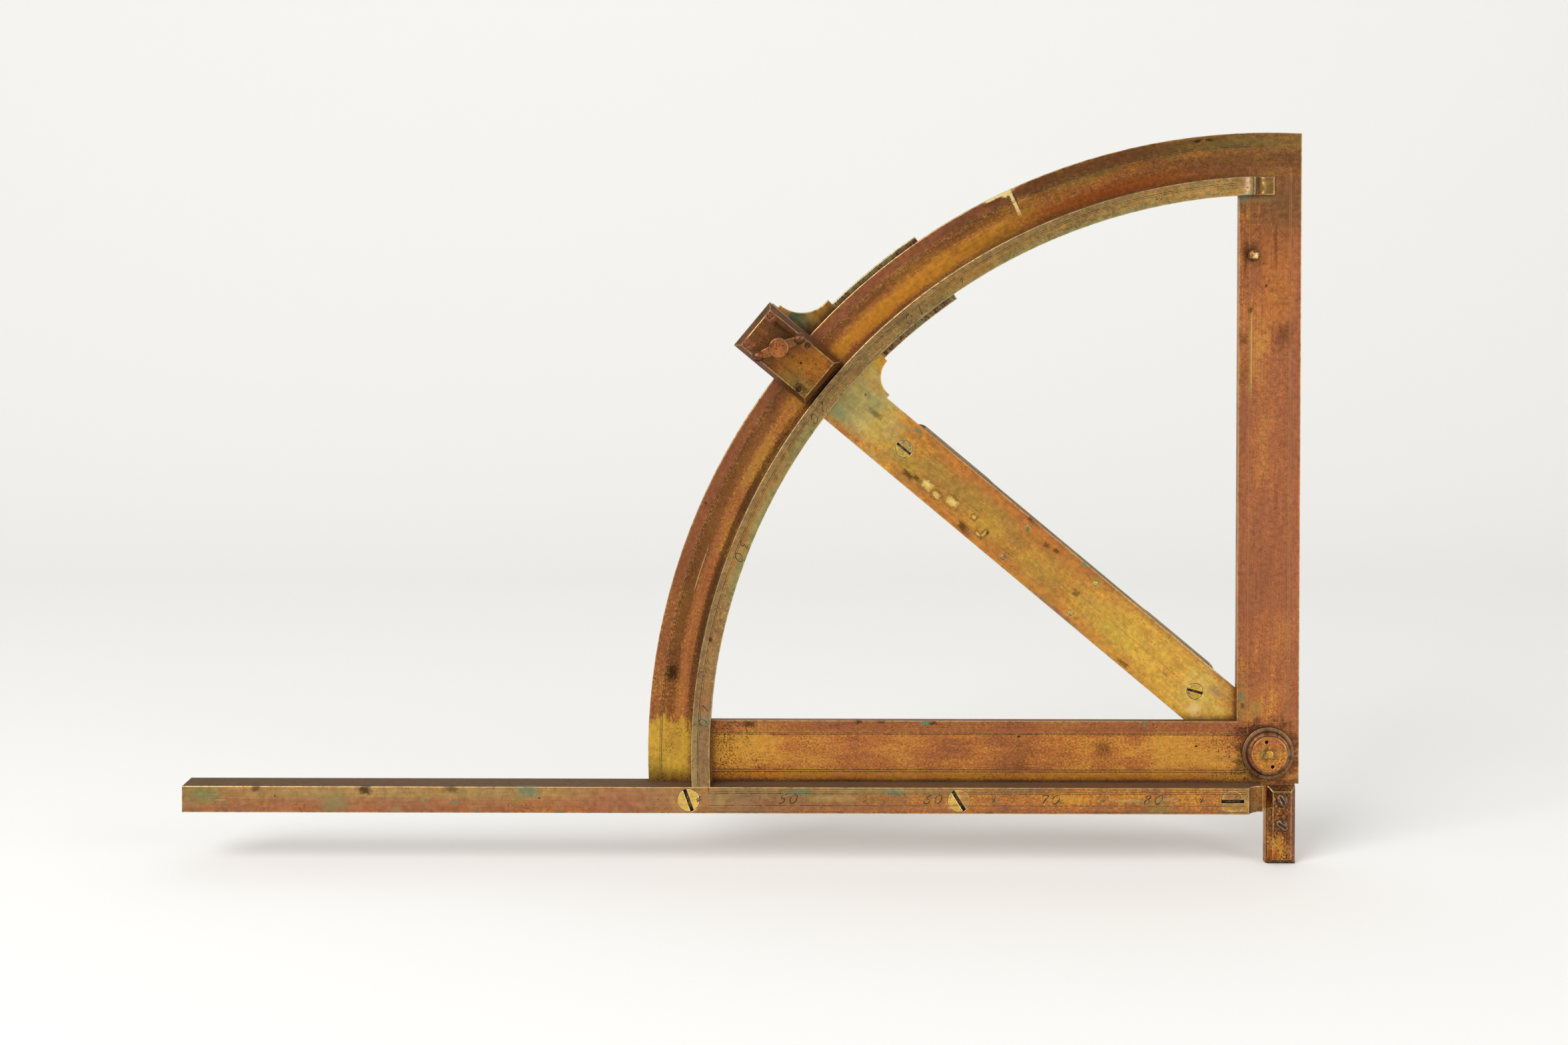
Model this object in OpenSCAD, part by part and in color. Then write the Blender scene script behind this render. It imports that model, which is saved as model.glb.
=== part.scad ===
// Gunner's quadrant in brass: a quadrant frame on a long bar, a plumb scale, and a swinging index arm
// that carries a spirit level, a vernier and a clamp.
// The bar lies along X with its underside at Z = 0, and the pivot axis runs along Y.
// The graduated front faces -Y. The origin is the centre of the bar's seat face.

/* [Frame] */
// Outer radius of the quadrant's arc, about the pivot
arc_r = 177.8; // [170:0.1:185]
// Width of the arc and of both straight limbs
limb_w = 17.8; // [16:0.1:19]
// Thickness of the frame plate
plate_t = 3.0; // [2.5:0.1:3.5]
// Height of the pivot above the bar's seat face
pivot_h = 16.0; // [15.8:0.1:16.4]
// Running clearance between the plate and what slides on it
slide_gap = 0.1; // [0.05:0.05:0.15]

/* [Long bar] */
// Length of the bar, moulded end included
bar_l = 307.6; // [300:0.1:320]
// Height of the bar
bar_h = 7.4; // [7:0.1:7.5]
// Depth of the bar in front of the plate
bar_proud = 7.3; // [6.5:0.1:8]
// Distance from the bar's moulded end to the pivot, along the bar
bar_end_gap = 2.1; // [1.8:0.1:2.4]
// Radius of the hollow moulding at the bar's end
bar_cove_r = 5.0; // [4.5:0.1:5.2]
// Depth left at the tip of the moulded end
bar_tip_d = 4.0; // [3.6:0.1:4.4]
// Head radius of the screws that hold the bar
bar_screw_r = 3.2; // [2.8:0.1:3.3]
// Distance of the far bar screw inside the arc's outer edge
bar_screw_far = 11.9; // [11:0.1:12.4]
// How far the middle bar screw lies beyond half the arc's radius
bar_screw_mid = 0.3; // [0:0.1:2]
// Distance of the near bar screw from the pivot
bar_screw_near = 11.4; // [11.2:0.1:12]
// Directions of their slots, in degrees from the bar
bar_screw_turn = [-70, -58, 0];

/* [Plumb scale] */
// Width of the upright rib that carries the plumb scale
rib_w = 5.2; // [4.6:0.1:5.6]
// Radius of the round part of the rib's moulded end
rib_ovolo_r = 4.0; // [3.6:0.1:4.2]
// Depth of the thin tongue at the rib's end
rib_tongue_d = 0.95; // [0.8:0.05:1.2]
// Where the tongue ends, beyond the pivot's upright line
rib_tongue_x = 0.9; // [0.5:0.1:1.5]
// Radius of the plumb peg
peg_r = 1.75; // [1.6:0.05:1.9]
// Length of the peg in front of the plate, without its domed end
peg_l = 2.4; // [2:0.1:3]
// Place of the peg left of the pivot
peg_x = 5.0; // [4.5:0.1:5.5]
// Distance of the peg below the arc's inner edge
peg_drop = 17.2; // [16:0.1:18]

/* [Foot] */
// Width of the foot strip
foot_w = 8.0; // [7.4:0.1:8.2]
// Length of the foot strip
foot_l = 22.3; // [21:0.1:23]
// Thickness of the foot strip
foot_t = 2.0; // [1.8:0.1:2.4]
// Width of the bevel round the foot strip
foot_bevel = 1.4; // [1:0.1:1.6]
// How far the foot reaches below the bar's seat face
foot_reach = 15.7; // [15:0.1:17]
// Where the foot strip's right edge lies, right of the pivot
foot_right = 7.8; // [7.5:0.1:8]
// How far the lug shows left of the strip
lug_show = 0.4; // [0.2:0.1:0.8]
// Head radius of the foot screws
foot_screw_r = 1.95; // [1.8:0.05:2.1]
// Depths of the foot screws below the bar's seat face
foot_screw_low = [-2.6, 4.5];
// Directions of their slots
foot_screw_turn = [-62, -36];

/* [Index arm] */
// Angle of the arm above the bar, as shown
arm_angle = 39.7; // [25:0.1:50]
// Thickness of the arm
arm_t = 2.4; // [2:0.1:2.8]
// Half width of the arm at the pivot
arm_hw_pivot = 8.3; // [8:0.1:8.6]
// Half width of the arm at its head
arm_hw_head = 8.0; // [7.8:0.1:8.3]
// How far the arm reaches beyond the arc
arm_over = 13.8; // [13.6:0.1:14.2]
// Radius of the hollow corner on the inner side of the head
inner_cove_r = 6.8; // [6:0.1:7.2]
// Radius of the hollow corner on the outer side of the head
outer_cove_r = 9.7; // [9:0.1:10]
// Angle from the arm's centre line to the head's cusps
cusp_angle = 6.0; // [5.8:0.1:6.4]
// How far the inner cusp lies inside the arc's inner edge
cusp_in = 3.4; // [3.0:0.1:3.8]
// How far the outer cusp lies outside the arc's outer edge
cusp_out = 3.2; // [2.8:0.1:3.6]

/* [Vernier] */
// How far the vernier reaches inside the arc's inner edge
vernier_under = 2.3; // [1.8:0.1:2.6]
// How far the vernier shows outside the arc
vernier_over = 1.5; // [1.2:0.1:1.8]
// Angle from the arm's centre line to the vernier's far end
vernier_end = 15.8; // [15:0.1:17]
// Thickness of the lap that fixes the vernier behind the head
lap_t = 1.2; // [1:0.1:1.6]
// Distance of the reading window's inner edge from the arc's inner edge
window_in = 4.5; // [4:0.1:5.5]
// Distance of the reading window's outer edge from the arc's outer edge
window_out = 4.8; // [4:0.1:5.5]
// Width of the bevelled reading edge
window_bevel = 2.0; // [1.5:0.1:2.4]
// Head radius of the vernier screws
vernier_screw_r = 1.4; // [1.2:0.1:1.6]

/* [Pivot] */
// Radius of the pivot pin in the plate
pin_r = 4.0; // [3.5:0.1:4.5]
// Radial running clearance round the pivot pin
pin_gap = 0.05; // [0.02:0.01:0.1]
// Radius of the pin's head behind the arm
pin_head_r = 6.5; // [6:0.1:7]
// Thickness of the pin's head
pin_head_t = 1.4; // [1.2:0.1:1.8]
// Radius of the moulded collar on the front
collar_r = 7.4; // [7:0.1:7.8]
// Radius of the round nut inside the collar
nut_r = 5.2; // [5:0.1:5.4]
// Radius of the pin's end, seen in the nut
pin_tip_r = 1.2; // [1:0.1:1.4]
// Direction of the two spanner holes, from the horizontal
spanner_turn = 104; // [0:1:180]
// Radius of the two spanner holes
spanner_r = 0.55; // [0.5:0.05:0.7]
// Distance of the spanner holes from the pivot axis
spanner_at = 3.65; // [3.4:0.05:3.9]

/* [Level] */
// Outer radius of the level's brass tube
tube_r = 8.0; // [7.6:0.1:8.4]
// Wall of the brass tube
tube_wall = 1.2; // [1:0.1:1.4]
// Where the straight tube starts, out from the pivot
tube_from = 25.5; // [24.5:0.1:26]
// How far the straight tube stops short of the arc's inner edge
tube_short = 26.5; // [25.5:0.1:27.5]
// Length of the domed end caps
cap_dome_l = 3.4; // [3:0.1:4]
// Space between the arm and the tube
tube_lift = 2.2; // [2:0.1:2.6]
// How far the tube sits above the arm's centre line
tube_up = 0.8; // [0.5:0.1:1.5]
// Length of the sight slot in the tube
slot_l = 62.0; // [56:0.5:66]
// Width of the sight slot
slot_w = 6.0; // [5:0.1:7]
// Outer radius of the glass vial
vial_r = 6.2; // [6:0.1:6.4]
// Wall of the glass vial
vial_wall = 1.0; // [0.8:0.1:1.2]
// Radius of the bubble
bubble_r = 2.6; // [2.2:0.1:2.8]
// Length of the bubble between its round ends
bubble_l = 9.0; // [6:0.5:12]
// Distance of the inner level screw beyond the straight tube's start
level_screw_inner = 1.1; // [0.8:0.1:1.6]
// Distance of the outer level screw beyond the straight tube's end
level_screw_outer = 2.3; // [1.8:0.1:2.6]
// Head radii of the level screws
level_screw_r = [2.3, 2.45];
// Directions of their slots, in degrees from the arm
level_screw_turn = [24, 0];
// Spacing of the saddle's rivets along the arm
rivet_pitch = 25.2; // [22:0.1:27]
// Distance of the rivets from the arm's centre line
rivet_side = 5.6; // [5.2:0.1:6]
// Radius of the rivets
rivet_r = 0.75; // [0.6:0.05:0.9]

/* [Clamp] */
// Gap between the rib and the clamp box
rib_box_gap = 1.2; // [1:0.1:1.6]
// How far the clamp box reaches beyond the arc
box_over = 14.8; // [14.6:0.1:15.2]
// Half width of the clamp box
box_hw = 7.85; // [7.6:0.05:8]
// Height of the clamp box's face above the plate
box_h = 11.0; // [10.5:0.1:12]
// Width of the bevel round the face
box_bevel_w = 1.4; // [1.2:0.1:1.6]
// Height of the bevel
box_bevel_h = 2.6; // [2:0.1:3]
// Clearance between the clamp box and the plate
box_gap = 0.3; // [0.2:0.05:0.4]
// Thickness of the plate under the box
base_t = 1.0; // [0.8:0.1:1.2]
// Half width of the hollow that guides the shoe
well_hw = 3.9; // [3.6:0.1:4]
// Side clearance of the shoe in the hollow
shoe_gap = 0.3; // [0.2:0.05:0.4]
// Radius of the clamp's pins
clamp_pin_r = 0.9; // [0.8:0.05:1]
// Places of the clamp's pins: distance beyond the arc's outer edge, then offset from the arm's centre line
clamp_pin_at = [[12.4, 5.15], [12.4, -5.15], [-1.0, 5.5], [-7.0, -5.5]];

/* [Thumbscrew] */
// Distance of the thumbscrew outside the arc's outer edge
screw_over = 4.9; // [4.6:0.1:5.2]
// Radius of the thumbscrew's threaded shank
screw_r = 1.6; // [1.5:0.05:1.7]
// Radial clearance of the shank in its thread
thread_gap = 0.05; // [0.02:0.01:0.08]
// Radius of the hub
hub_r = 2.8; // [2.5:0.1:3]
// Height of the hub's top above the plate
hub_top = 17.0; // [16:0.1:18]
// Half span of the two wings
wing_span = 7.8; // [7.2:0.1:8.4]
// Length of the barrel at each wing's end
barrel_l = 3.2; // [2.8:0.1:3.6]
// Greatest radius of the barrel
barrel_r = 1.55; // [1.4:0.05:1.7]
// Direction of the wings, from the horizontal as seen from the front
wing_tilt = 23; // [0:1:90]

/* [Hidden] */
$fn = 120;
eps = 0.02;

pivot_x = bar_l / 2 + bar_end_gap;
plate_y = bar_proud / 2;
bar_top = bar_h - pivot_h;
bar_mid = bar_top - bar_h / 2;
arc_r_in = arc_r - limb_w;
rib_r = arc_r_in + rib_w;
half_limb = limb_w / 2;

bar_screw_at = [arc_r - bar_screw_far, arc_r / 2 + bar_screw_mid, bar_screw_near];
bar_screw_head = 2.2;
bar_shank_r = 1.9;
bar_slot_w = 1.0;
slot_depth = 0.8;

tongue_flat = 2.3;
round_step = 0.1;
peg_z = arc_r_in - peg_drop;
peg_shank_r = 1.5;
peg_dome_h = 0.7;

foot_left = foot_right - foot_w;
foot_mid = foot_left + foot_w / 2;
foot_drop = pivot_h + foot_reach;
foot_screw_at = [for (d = foot_screw_low) pivot_h + d];
foot_shank_r = 1.2;
foot_head_h = 1.0;
foot_slot_w = 0.8;
foot_slot_d = 0.75;

arm_y = plate_t + slide_gap;
arm_back = arm_y + arm_t;
arm_end = arc_r + arm_over;
inner_cusp = arc_r_in - cusp_in;
outer_cusp = arc_r + cusp_out;
cusp_tip = 0.3;
head_sink = 0.5;

lap_back = arm_back + lap_t;
lap_inset = 1.4;
lap_start = -1.5;
vernier_r = arc_r + vernier_over;
vernier_r_in = arc_r_in - vernier_under;
window_r_in = arc_r_in + window_in;
window_r_out = arc_r - window_out;
window_margin = 1.3;
window_edge_t = 0.4;
vernier_shank_r = 0.8;
vernier_head_t = 0.8;
vernier_slot_w = 0.5;
vernier_slot_d = 0.4;
vernier_screw_lo = -0.6;
vernier_screw_hi = 4.4;

pin_head_edge = 0.4;
collar_base_t = 0.6;
collar_step = 0.45;
collar_step_t = 0.2;
collar_floor = 1.1;
collar_lip = 1.2;
nut_top = 2.6;
nut_edge = 0.15;
spanner_depth = 1.2;
tip_top = 2.75;
tip_edge = 0.2;

tube_to = arc_r_in - tube_short;
tube_mid = (tube_from + tube_to) / 2;
tube_y = arm_back + tube_lift + tube_r;
bore_r = tube_r - tube_wall;
cap_plug_l = 3.0;
cap_base_t = 2.0;
packing_l = 5.0;
vial_from = tube_from + cap_plug_l + cap_base_t;
vial_to = tube_to - cap_plug_l - cap_base_t;
spirit_r = vial_r - vial_wall;
bubble_rise = 0.6;

level_screw_at = [tube_from + level_screw_inner, tube_to + level_screw_outer];
level_shank_r = 1.4;
level_head_t = 1.2;
level_slot_w = 0.7;
level_grip = 1.8;
level_foot_l = 7.0;
level_foot_w = 12.0;
level_foot_h = 5.5;
saddle_mid = (level_screw_at[0] + level_screw_at[1]) / 2;
saddle_end = 3.4;
saddle_l = rivet_pitch + 2 * saddle_end;
saddle_w = 15.0;
saddle_h = 4.6;
rivet_at = [saddle_mid - rivet_pitch / 2, saddle_mid + rivet_pitch / 2];
rivet_grip = 1.6;

box_from = rib_r + rib_box_gap;
box_to = arc_r + box_over;
box_end_wall = 5.6;
box_near_wall = 2.2;
box_roof = 2.6;
well_top = box_h - box_roof;
well_from = box_from + box_near_wall;
well_to = box_to - box_end_wall;
base_slot_to = arc_r - 0.2;
block_inset = 0.4;
block_gap = 0.35;
clamp_pin_u = [for (p = clamp_pin_at) arc_r + p[0]];
clamp_pin_w = [for (p = clamp_pin_at) p[1]];

screw_at = arc_r + screw_over;
shoe_top = 5.2;
shoe_step = 1.6;
shoe_hw = well_hw - shoe_gap;
shoe_from = well_from + shoe_gap;
shoe_to = well_to - shoe_gap;
pad_to = base_slot_to - shoe_gap;
spigot_r = 1.2;
spigot_gap = 0.05;
spigot_end = 2.3;
groove_r = 0.7;
groove_lo = 3.3;
groove_hi = 4.2;
groove_mid = (groove_lo + groove_hi) / 2;
shoe_pin_r = 0.4;
pin_line = groove_r + spigot_gap + shoe_pin_r - screw_at;

hub_foot = box_h + 0.8;
hub_neck = 0.5;
hub_neck_l = 0.6;
hub_edge = 0.2;
wing_top = hub_top - 0.9;
wing_t = 1.8;
wing_foot = wing_top - wing_t;
wing_mid = wing_top - wing_t / 2;
web_hw_hub = 1.5;
web_hw_end = 1.1;
web_t = wing_t - 0.2;
barrel_bulge = 0.9;

BRASS = "#a9753a";
WORN_BRASS = "#c08a3c";
DARK_BRASS = "#7d5326";
SCREW_BRASS = "#b98a4b";
GLASS = "#cfe0da";
SPIRIT = "#c9cf6a";
PLASTER = "#ded8c8";

// Puts the pivot axis on the origin's Y axis, with Y = 0 on the front face of the plate.
module at_pivot() {
    translate([pivot_x, plate_y, pivot_h]) children();
}

// The arm's own frame: it points along -X, and its upper edge faces +Z.
module on_arm() {
    at_pivot() rotate([0, arm_angle, 0]) children();
}

// Extrudes an outline drawn in X and Z from depth y0 to depth y1.
module slab(y0, y1) {
    translate([0, y1, 0]) rotate([90, 0, 0]) linear_extrude(height = y1 - y0) children();
}

// A round bar along Y at a place in X and Z.
module rod(x, z, r, y0, y1) {
    translate([x, y1, z]) rotate([90, 0, 0]) cylinder(r = r, h = y1 - y0);
}

// A turned shape about the Y axis: the outline gives radius and height in front of the plate.
module turned() {
    rotate([90, 0, 0]) rotate_extrude() children();
}

// Part of a ring between two angles, measured up from -X.
module ring_part(r0, r1, a0, a1) {
    reach = r1 * 1.5;
    intersection() {
        difference() {
            circle(r = r1);
            circle(r = r0);
        }
        polygon([
            [0, 0],
            [-reach * cos(a0), reach * sin(a0)],
            [-reach * cos((a0 + a1) / 2), reach * sin((a0 + a1) / 2)],
            [-reach * cos(a1), reach * sin(a1)]
        ]);
    }
}

// A block with its front edges bevelled all round; y_back and y_front are depths, front nearer -Y.
module bevelled_block(x0, x1, z0, z1, y_back, y_front, bevel_w, bevel_h) {
    shoulder = y_front + bevel_h;
    intersection() {
        translate([0, 0, z0]) linear_extrude(height = z1 - z0) polygon([
            [x0, y_back], [x0, shoulder], [x0 + bevel_w, y_front],
            [x1 - bevel_w, y_front], [x1, shoulder], [x1, y_back]
        ]);
        translate([x0, 0, 0]) rotate([90, 0, 90]) linear_extrude(height = x1 - x0) polygon([
            [y_back, z0], [shoulder, z0], [y_front, z0 + bevel_w],
            [y_front, z1 - bevel_w], [shoulder, z1], [y_back, z1]
        ]);
    }
}

// Radius of the ball that a dome of this base radius and height is cut from.
function dome_radius(r, h) = (r * r + h * h) / (2 * h);

// Half section of a dome that stands on the X axis.
module dome_section(r, h) {
    intersection() {
        translate([0, h - dome_radius(r, h)]) circle(r = dome_radius(r, h));
        square([r, h]);
    }
}

// A screwdriver slot across a head of radius r at depth y, in a direction given in degrees.
module driver_slot(x, z, r, turn, y, width, depth) {
    translate([x, y, z]) rotate([0, -turn, 0]) {
        cube([2 * r + 2, depth * 2, width], center = true);
    }
}

// A flush slotted screw: head at depth y, shank going back to y_end.
module flush_screw(x, z, head_r, head_t, shank_r, y, y_end, turn, slot_width) {
    difference() {
        union() {
            rod(x, z, head_r, y, y + head_t);
            rod(x, z, shank_r, y + head_t, y_end);
        }
        driver_slot(x, z, head_r, turn, y, slot_width, slot_depth);
    }
}

module frame_outline() {
    difference() {
        union() {
            intersection() {
                difference() {
                    circle(r = arc_r);
                    circle(r = arc_r_in);
                }
                translate([-arc_r - 1, -pivot_h]) square([arc_r + 1 + half_limb, arc_r + 1 + pivot_h]);
            }
            translate([-rib_r, -pivot_h]) square([rib_r + half_limb, pivot_h + half_limb]);
            translate([-half_limb, -pivot_h]) square([limb_w, pivot_h + rib_r]);
            translate([foot_left - lug_show, -foot_drop]) square([foot_w + lug_show, foot_drop]);
        }
        translate([foot_right, -foot_drop - 1]) square([limb_w, foot_drop + 1 - half_limb]);
        circle(r = pin_r + pin_gap);
        translate([-peg_x, peg_z]) circle(r = peg_shank_r + eps);
        for (x = bar_screw_at) {
            translate([-x, bar_mid]) circle(r = bar_shank_r + eps);
        }
        for (z = foot_screw_at) {
            translate([foot_mid, -z]) circle(r = foot_shank_r + eps);
        }
    }
}

// Quadrant frame cut from one plate: arc, two limbs, a strip behind the bar, and the foot's lug.
module frame_plate() {
    color(BRASS) at_pivot() slab(0, plate_t) frame_outline();
}

// Solid bar, rebated at the back for the plate, with a hollow moulding at its right end.
module long_bar() {
    color(WORN_BRASS) at_pivot() difference() {
        union() {
            slab(-bar_proud, 0) {
                translate([-bar_l - bar_end_gap, bar_top - bar_h]) square([bar_l, bar_h]);
            }
            slab(0, plate_t) difference() {
                translate([-bar_l - bar_end_gap, bar_top - bar_h]) {
                    square([bar_l + bar_end_gap - arc_r_in, bar_h]);
                }
                circle(r = arc_r + eps);
            }
        }
        translate([-bar_end_gap, -bar_tip_d - bar_cove_r, bar_top - bar_h - 1]) {
            cylinder(r = bar_cove_r, h = bar_h + 2);
        }
        for (x = bar_screw_at) {
            rod(-x, bar_mid, bar_screw_r + eps, -bar_proud - 1, bar_screw_head - bar_proud);
            rod(-x, bar_mid, bar_shank_r + eps, -bar_proud, plate_t + 1);
        }
    }
}

// Three flush screws through the bar into the plate.
module bar_screws() {
    color(SCREW_BRASS) at_pivot() for (i = [0:2]) {
        flush_screw(-bar_screw_at[i], bar_mid, bar_screw_r, bar_screw_head, bar_shank_r,
            -bar_proud, plate_t, bar_screw_turn[i], bar_slot_w);
    }
}

// Depth profile of the rib seen along Z: full height, then a round, a hollow and a thin tongue.
module rib_profile() {
    hollow_x = rib_tongue_x - tongue_flat;
    round_x = hollow_x - rib_ovolo_r * 2 - round_step;
    step = bar_proud - rib_ovolo_r;
    difference() {
        union() {
            translate([-arc_r, -bar_proud]) square([arc_r + round_x, bar_proud]);
            translate([round_x - 1, -step]) square([rib_ovolo_r + 1, step]);
            translate([round_x, -step]) circle(r = rib_ovolo_r);
            translate([round_x, -step]) square([hollow_x - round_x, step]);
            translate([round_x, -rib_tongue_d]) square([rib_tongue_x - round_x, rib_tongue_d]);
        }
        translate([hollow_x, -rib_tongue_d - rib_ovolo_r]) circle(r = rib_ovolo_r);
        translate([-arc_r, 0]) square([2 * arc_r, arc_r]);
    }
}

// Upright rib on the inner edge of the arc; its front carries the plumb scale.
module plumb_scale_rib() {
    color(BRASS) at_pivot() intersection() {
        slab(-bar_proud, 0) intersection() {
            difference() {
                circle(r = rib_r);
                circle(r = arc_r_in);
            }
            translate([-arc_r, bar_top]) square([arc_r + rib_tongue_x, arc_r]);
        }
        translate([0, 0, bar_top]) linear_extrude(height = arc_r + 1 - bar_top) rib_profile();
    }
}

// Peg at the centre of the plumb scale; the plumb line hangs from it.
module plumb_peg() {
    color(SCREW_BRASS) at_pivot() translate([-peg_x, 0, peg_z]) {
        turned() {
            translate([0, -plate_t]) square([peg_shank_r, plate_t]);
            square([peg_r, peg_l]);
            translate([0, peg_l]) dome_section(peg_r, peg_dome_h);
        }
    }
}

// Bevelled strip that meets the muzzle face.
module foot_strip() {
    color(BRASS) at_pivot() difference() {
        bevelled_block(foot_left, foot_right, -foot_drop, foot_l - foot_drop, 0, -foot_t,
            foot_bevel, foot_bevel);
        for (z = foot_screw_at) {
            rod(foot_mid, -z, foot_shank_r + eps, -foot_t - 1, 1);
        }
    }
}

// Two dome-headed screws in the foot strip.
module foot_screws() {
    color(DARK_BRASS) at_pivot() for (i = [0:1]) {
        z = -foot_screw_at[i];
        difference() {
            union() {
                translate([foot_mid, 0, z]) turned() {
                    translate([0, foot_t]) dome_section(foot_screw_r, foot_head_h);
                }
                rod(foot_mid, z, foot_shank_r, -foot_t, plate_t);
            }
            driver_slot(foot_mid, z, foot_screw_r, foot_screw_turn[i], -foot_t - foot_head_h,
                foot_slot_w, foot_slot_d);
        }
    }
}

// Outline of the arm with its cusped head, drawn along -X.
module arm_outline() {
    inner_x = -inner_cusp * cos(cusp_angle) + inner_cove_r;
    inner_z = inner_cusp * sin(cusp_angle) - cusp_tip;
    outer_x = -outer_cusp * cos(cusp_angle) - outer_cove_r;
    outer_z = outer_cusp * sin(cusp_angle) - cusp_tip;
    notch_z = inner_z - inner_cove_r;
    difference() {
        union() {
            circle(r = arm_hw_pivot);
            polygon([
                [0, arm_hw_pivot], [-arm_end, arm_hw_head],
                [-arm_end, -arm_hw_head], [0, -arm_hw_pivot]
            ]);
            polygon([
                [inner_x, arm_hw_head - head_sink], [inner_x, notch_z + cusp_tip],
                [-inner_cusp * cos(cusp_angle), inner_cusp * sin(cusp_angle)],
                [-outer_cusp * cos(cusp_angle), outer_cusp * sin(cusp_angle)],
                [outer_x, notch_z], [outer_x, arm_hw_head - head_sink]
            ]);
        }
        translate([inner_x, inner_z]) circle(r = inner_cove_r);
        translate([outer_x, outer_z]) circle(r = outer_cove_r);
        circle(r = pin_r + eps);
        for (i = [0:1]) {
            translate([-level_screw_at[i], 0]) circle(r = level_shank_r + eps);
        }
        for (x = rivet_at, side = [-1, 1]) {
            translate([-x, side * rivet_side]) circle(r = rivet_r + eps);
        }
        for (i = [0:1]) {
            translate([-clamp_pin_u[i], clamp_pin_w[i]]) circle(r = clamp_pin_r + eps);
        }
        vernier_screw_places() circle(r = vernier_shank_r + eps);
    }
}

// The four places of the vernier screws, on the head behind the arc.
module vernier_screw_places() {
    for (a = [vernier_screw_lo, vernier_screw_hi], r = [window_r_in, window_r_out]) {
        translate([-r * cos(a), r * sin(a)]) children();
    }
}

// Index arm behind the frame, with a cusped head under the clamp and the vernier.
module index_arm() {
    color(WORN_BRASS) on_arm() difference() {
        slab(arm_y, arm_back) arm_outline();
        for (i = [0:1]) {
            rod(-level_screw_at[i], 0, level_screw_r[i] + eps, arm_y - 1, arm_y + level_head_t);
        }
    }
}

// Vernier sector beside the head, lapped behind it, with a window that has a bevelled reading edge.
module vernier_plate() {
    window_from = cusp_angle + window_margin;
    window_to = vernier_end - window_margin;
    color(BRASS) on_arm() difference() {
        union() {
            slab(arm_y, arm_back) ring_part(vernier_r_in, vernier_r, cusp_angle, vernier_end);
            slab(arm_back, lap_back) {
                ring_part(arc_r_in + lap_inset, arc_r - lap_inset, lap_start, vernier_end);
            }
        }
        slab(arm_y - 1, lap_back + 1) ring_part(window_r_in, window_r_out, window_from, window_to);
        intersection() {
            turned() polygon([
                [window_r_in - window_bevel, -lap_back], [window_r_in + 1, -lap_back],
                [window_r_in + 1, -arm_y - window_edge_t], [window_r_in, -arm_y - window_edge_t]
            ]);
            slab(arm_y, lap_back + 1) {
                ring_part(window_r_in - window_bevel - 1, window_r_in + 2, window_from, window_to);
            }
        }
        slab(arm_back - 1, lap_back + 1) {
            vernier_screw_places() circle(r = vernier_shank_r + eps);
        }
    }
}

// Four small screws through the vernier's lap into the head.
module vernier_screws() {
    color(SCREW_BRASS) on_arm() difference() {
        union() {
            slab(arm_y + slide_gap, lap_back) vernier_screw_places() circle(r = vernier_shank_r);
            slab(lap_back, lap_back + vernier_head_t) {
                vernier_screw_places() circle(r = vernier_screw_r);
            }
        }
        slab(lap_back + vernier_head_t - vernier_slot_d, lap_back + vernier_head_t + 1) {
            vernier_screw_places() {
                square([2 * vernier_screw_r + 1, vernier_slot_w], center = true);
            }
        }
    }
}

// Pivot pin: a flat head behind the arm, a bearing in the plate and a thin end for the nut.
module pivot_pin() {
    color(SCREW_BRASS) at_pivot() turned() {
        polygon([
            [0, -arm_back - pin_head_t], [pin_head_r - pin_head_edge, -arm_back - pin_head_t],
            [pin_head_r, -arm_back - pin_head_t + pin_head_edge], [pin_head_r, -arm_back],
            [pin_r, -arm_back], [pin_r, slide_gap], [pin_tip_r, slide_gap],
            [pin_tip_r, tip_top - tip_edge], [pin_tip_r - tip_edge, tip_top], [0, tip_top]
        ]);
    }
}

// Moulded collar under the nut.
module pivot_collar() {
    pocket_r = nut_r + eps;
    color(BRASS) at_pivot() turned() difference() {
        union() {
            translate([pin_tip_r + eps, slide_gap]) {
                square([collar_r - pin_tip_r - eps, collar_base_t]);
            }
            translate([pin_tip_r + eps, slide_gap]) {
                square([collar_r - collar_step - pin_tip_r, collar_base_t + collar_step_t]);
            }
            translate([pin_tip_r + eps, slide_gap]) {
                square([pocket_r + collar_lip - pin_tip_r - eps, collar_floor - slide_gap]);
            }
            translate([pocket_r, collar_floor]) circle(r = collar_lip);
        }
        translate([0, collar_floor]) square([pocket_r, collar_lip + 1]);
        translate([0, slide_gap - collar_lip]) square([collar_r, collar_lip]);
    }
}

// Round nut with two spanner holes.
module pivot_nut() {
    bore = pin_tip_r + eps;
    color(WORN_BRASS) at_pivot() difference() {
        turned() polygon([
            [bore, collar_floor], [nut_r, collar_floor], [nut_r, nut_top - nut_edge],
            [nut_r - nut_edge, nut_top], [bore, nut_top]
        ]);
        rotate([0, -spanner_turn, 0]) for (side = [-1, 1]) {
            rod(side * spanner_at, 0, spanner_r, -nut_top - 1, spanner_depth - nut_top);
        }
    }
}

// Runs a turned outline along the level's axis: x is the radius, y the distance from the pivot.
module along_level() {
    translate([0, tube_y, tube_up]) rotate([0, -90, 0]) rotate_extrude() children();
}

// The level's outside with both domes, grown by a margin.
module level_outside(margin) {
    along_level() {
        translate([0, tube_from]) square([tube_r + margin, tube_to - tube_from]);
        translate([0, tube_to]) dome_outline(margin);
        translate([0, tube_from]) mirror([0, 1]) dome_outline(margin);
    }
}

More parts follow.
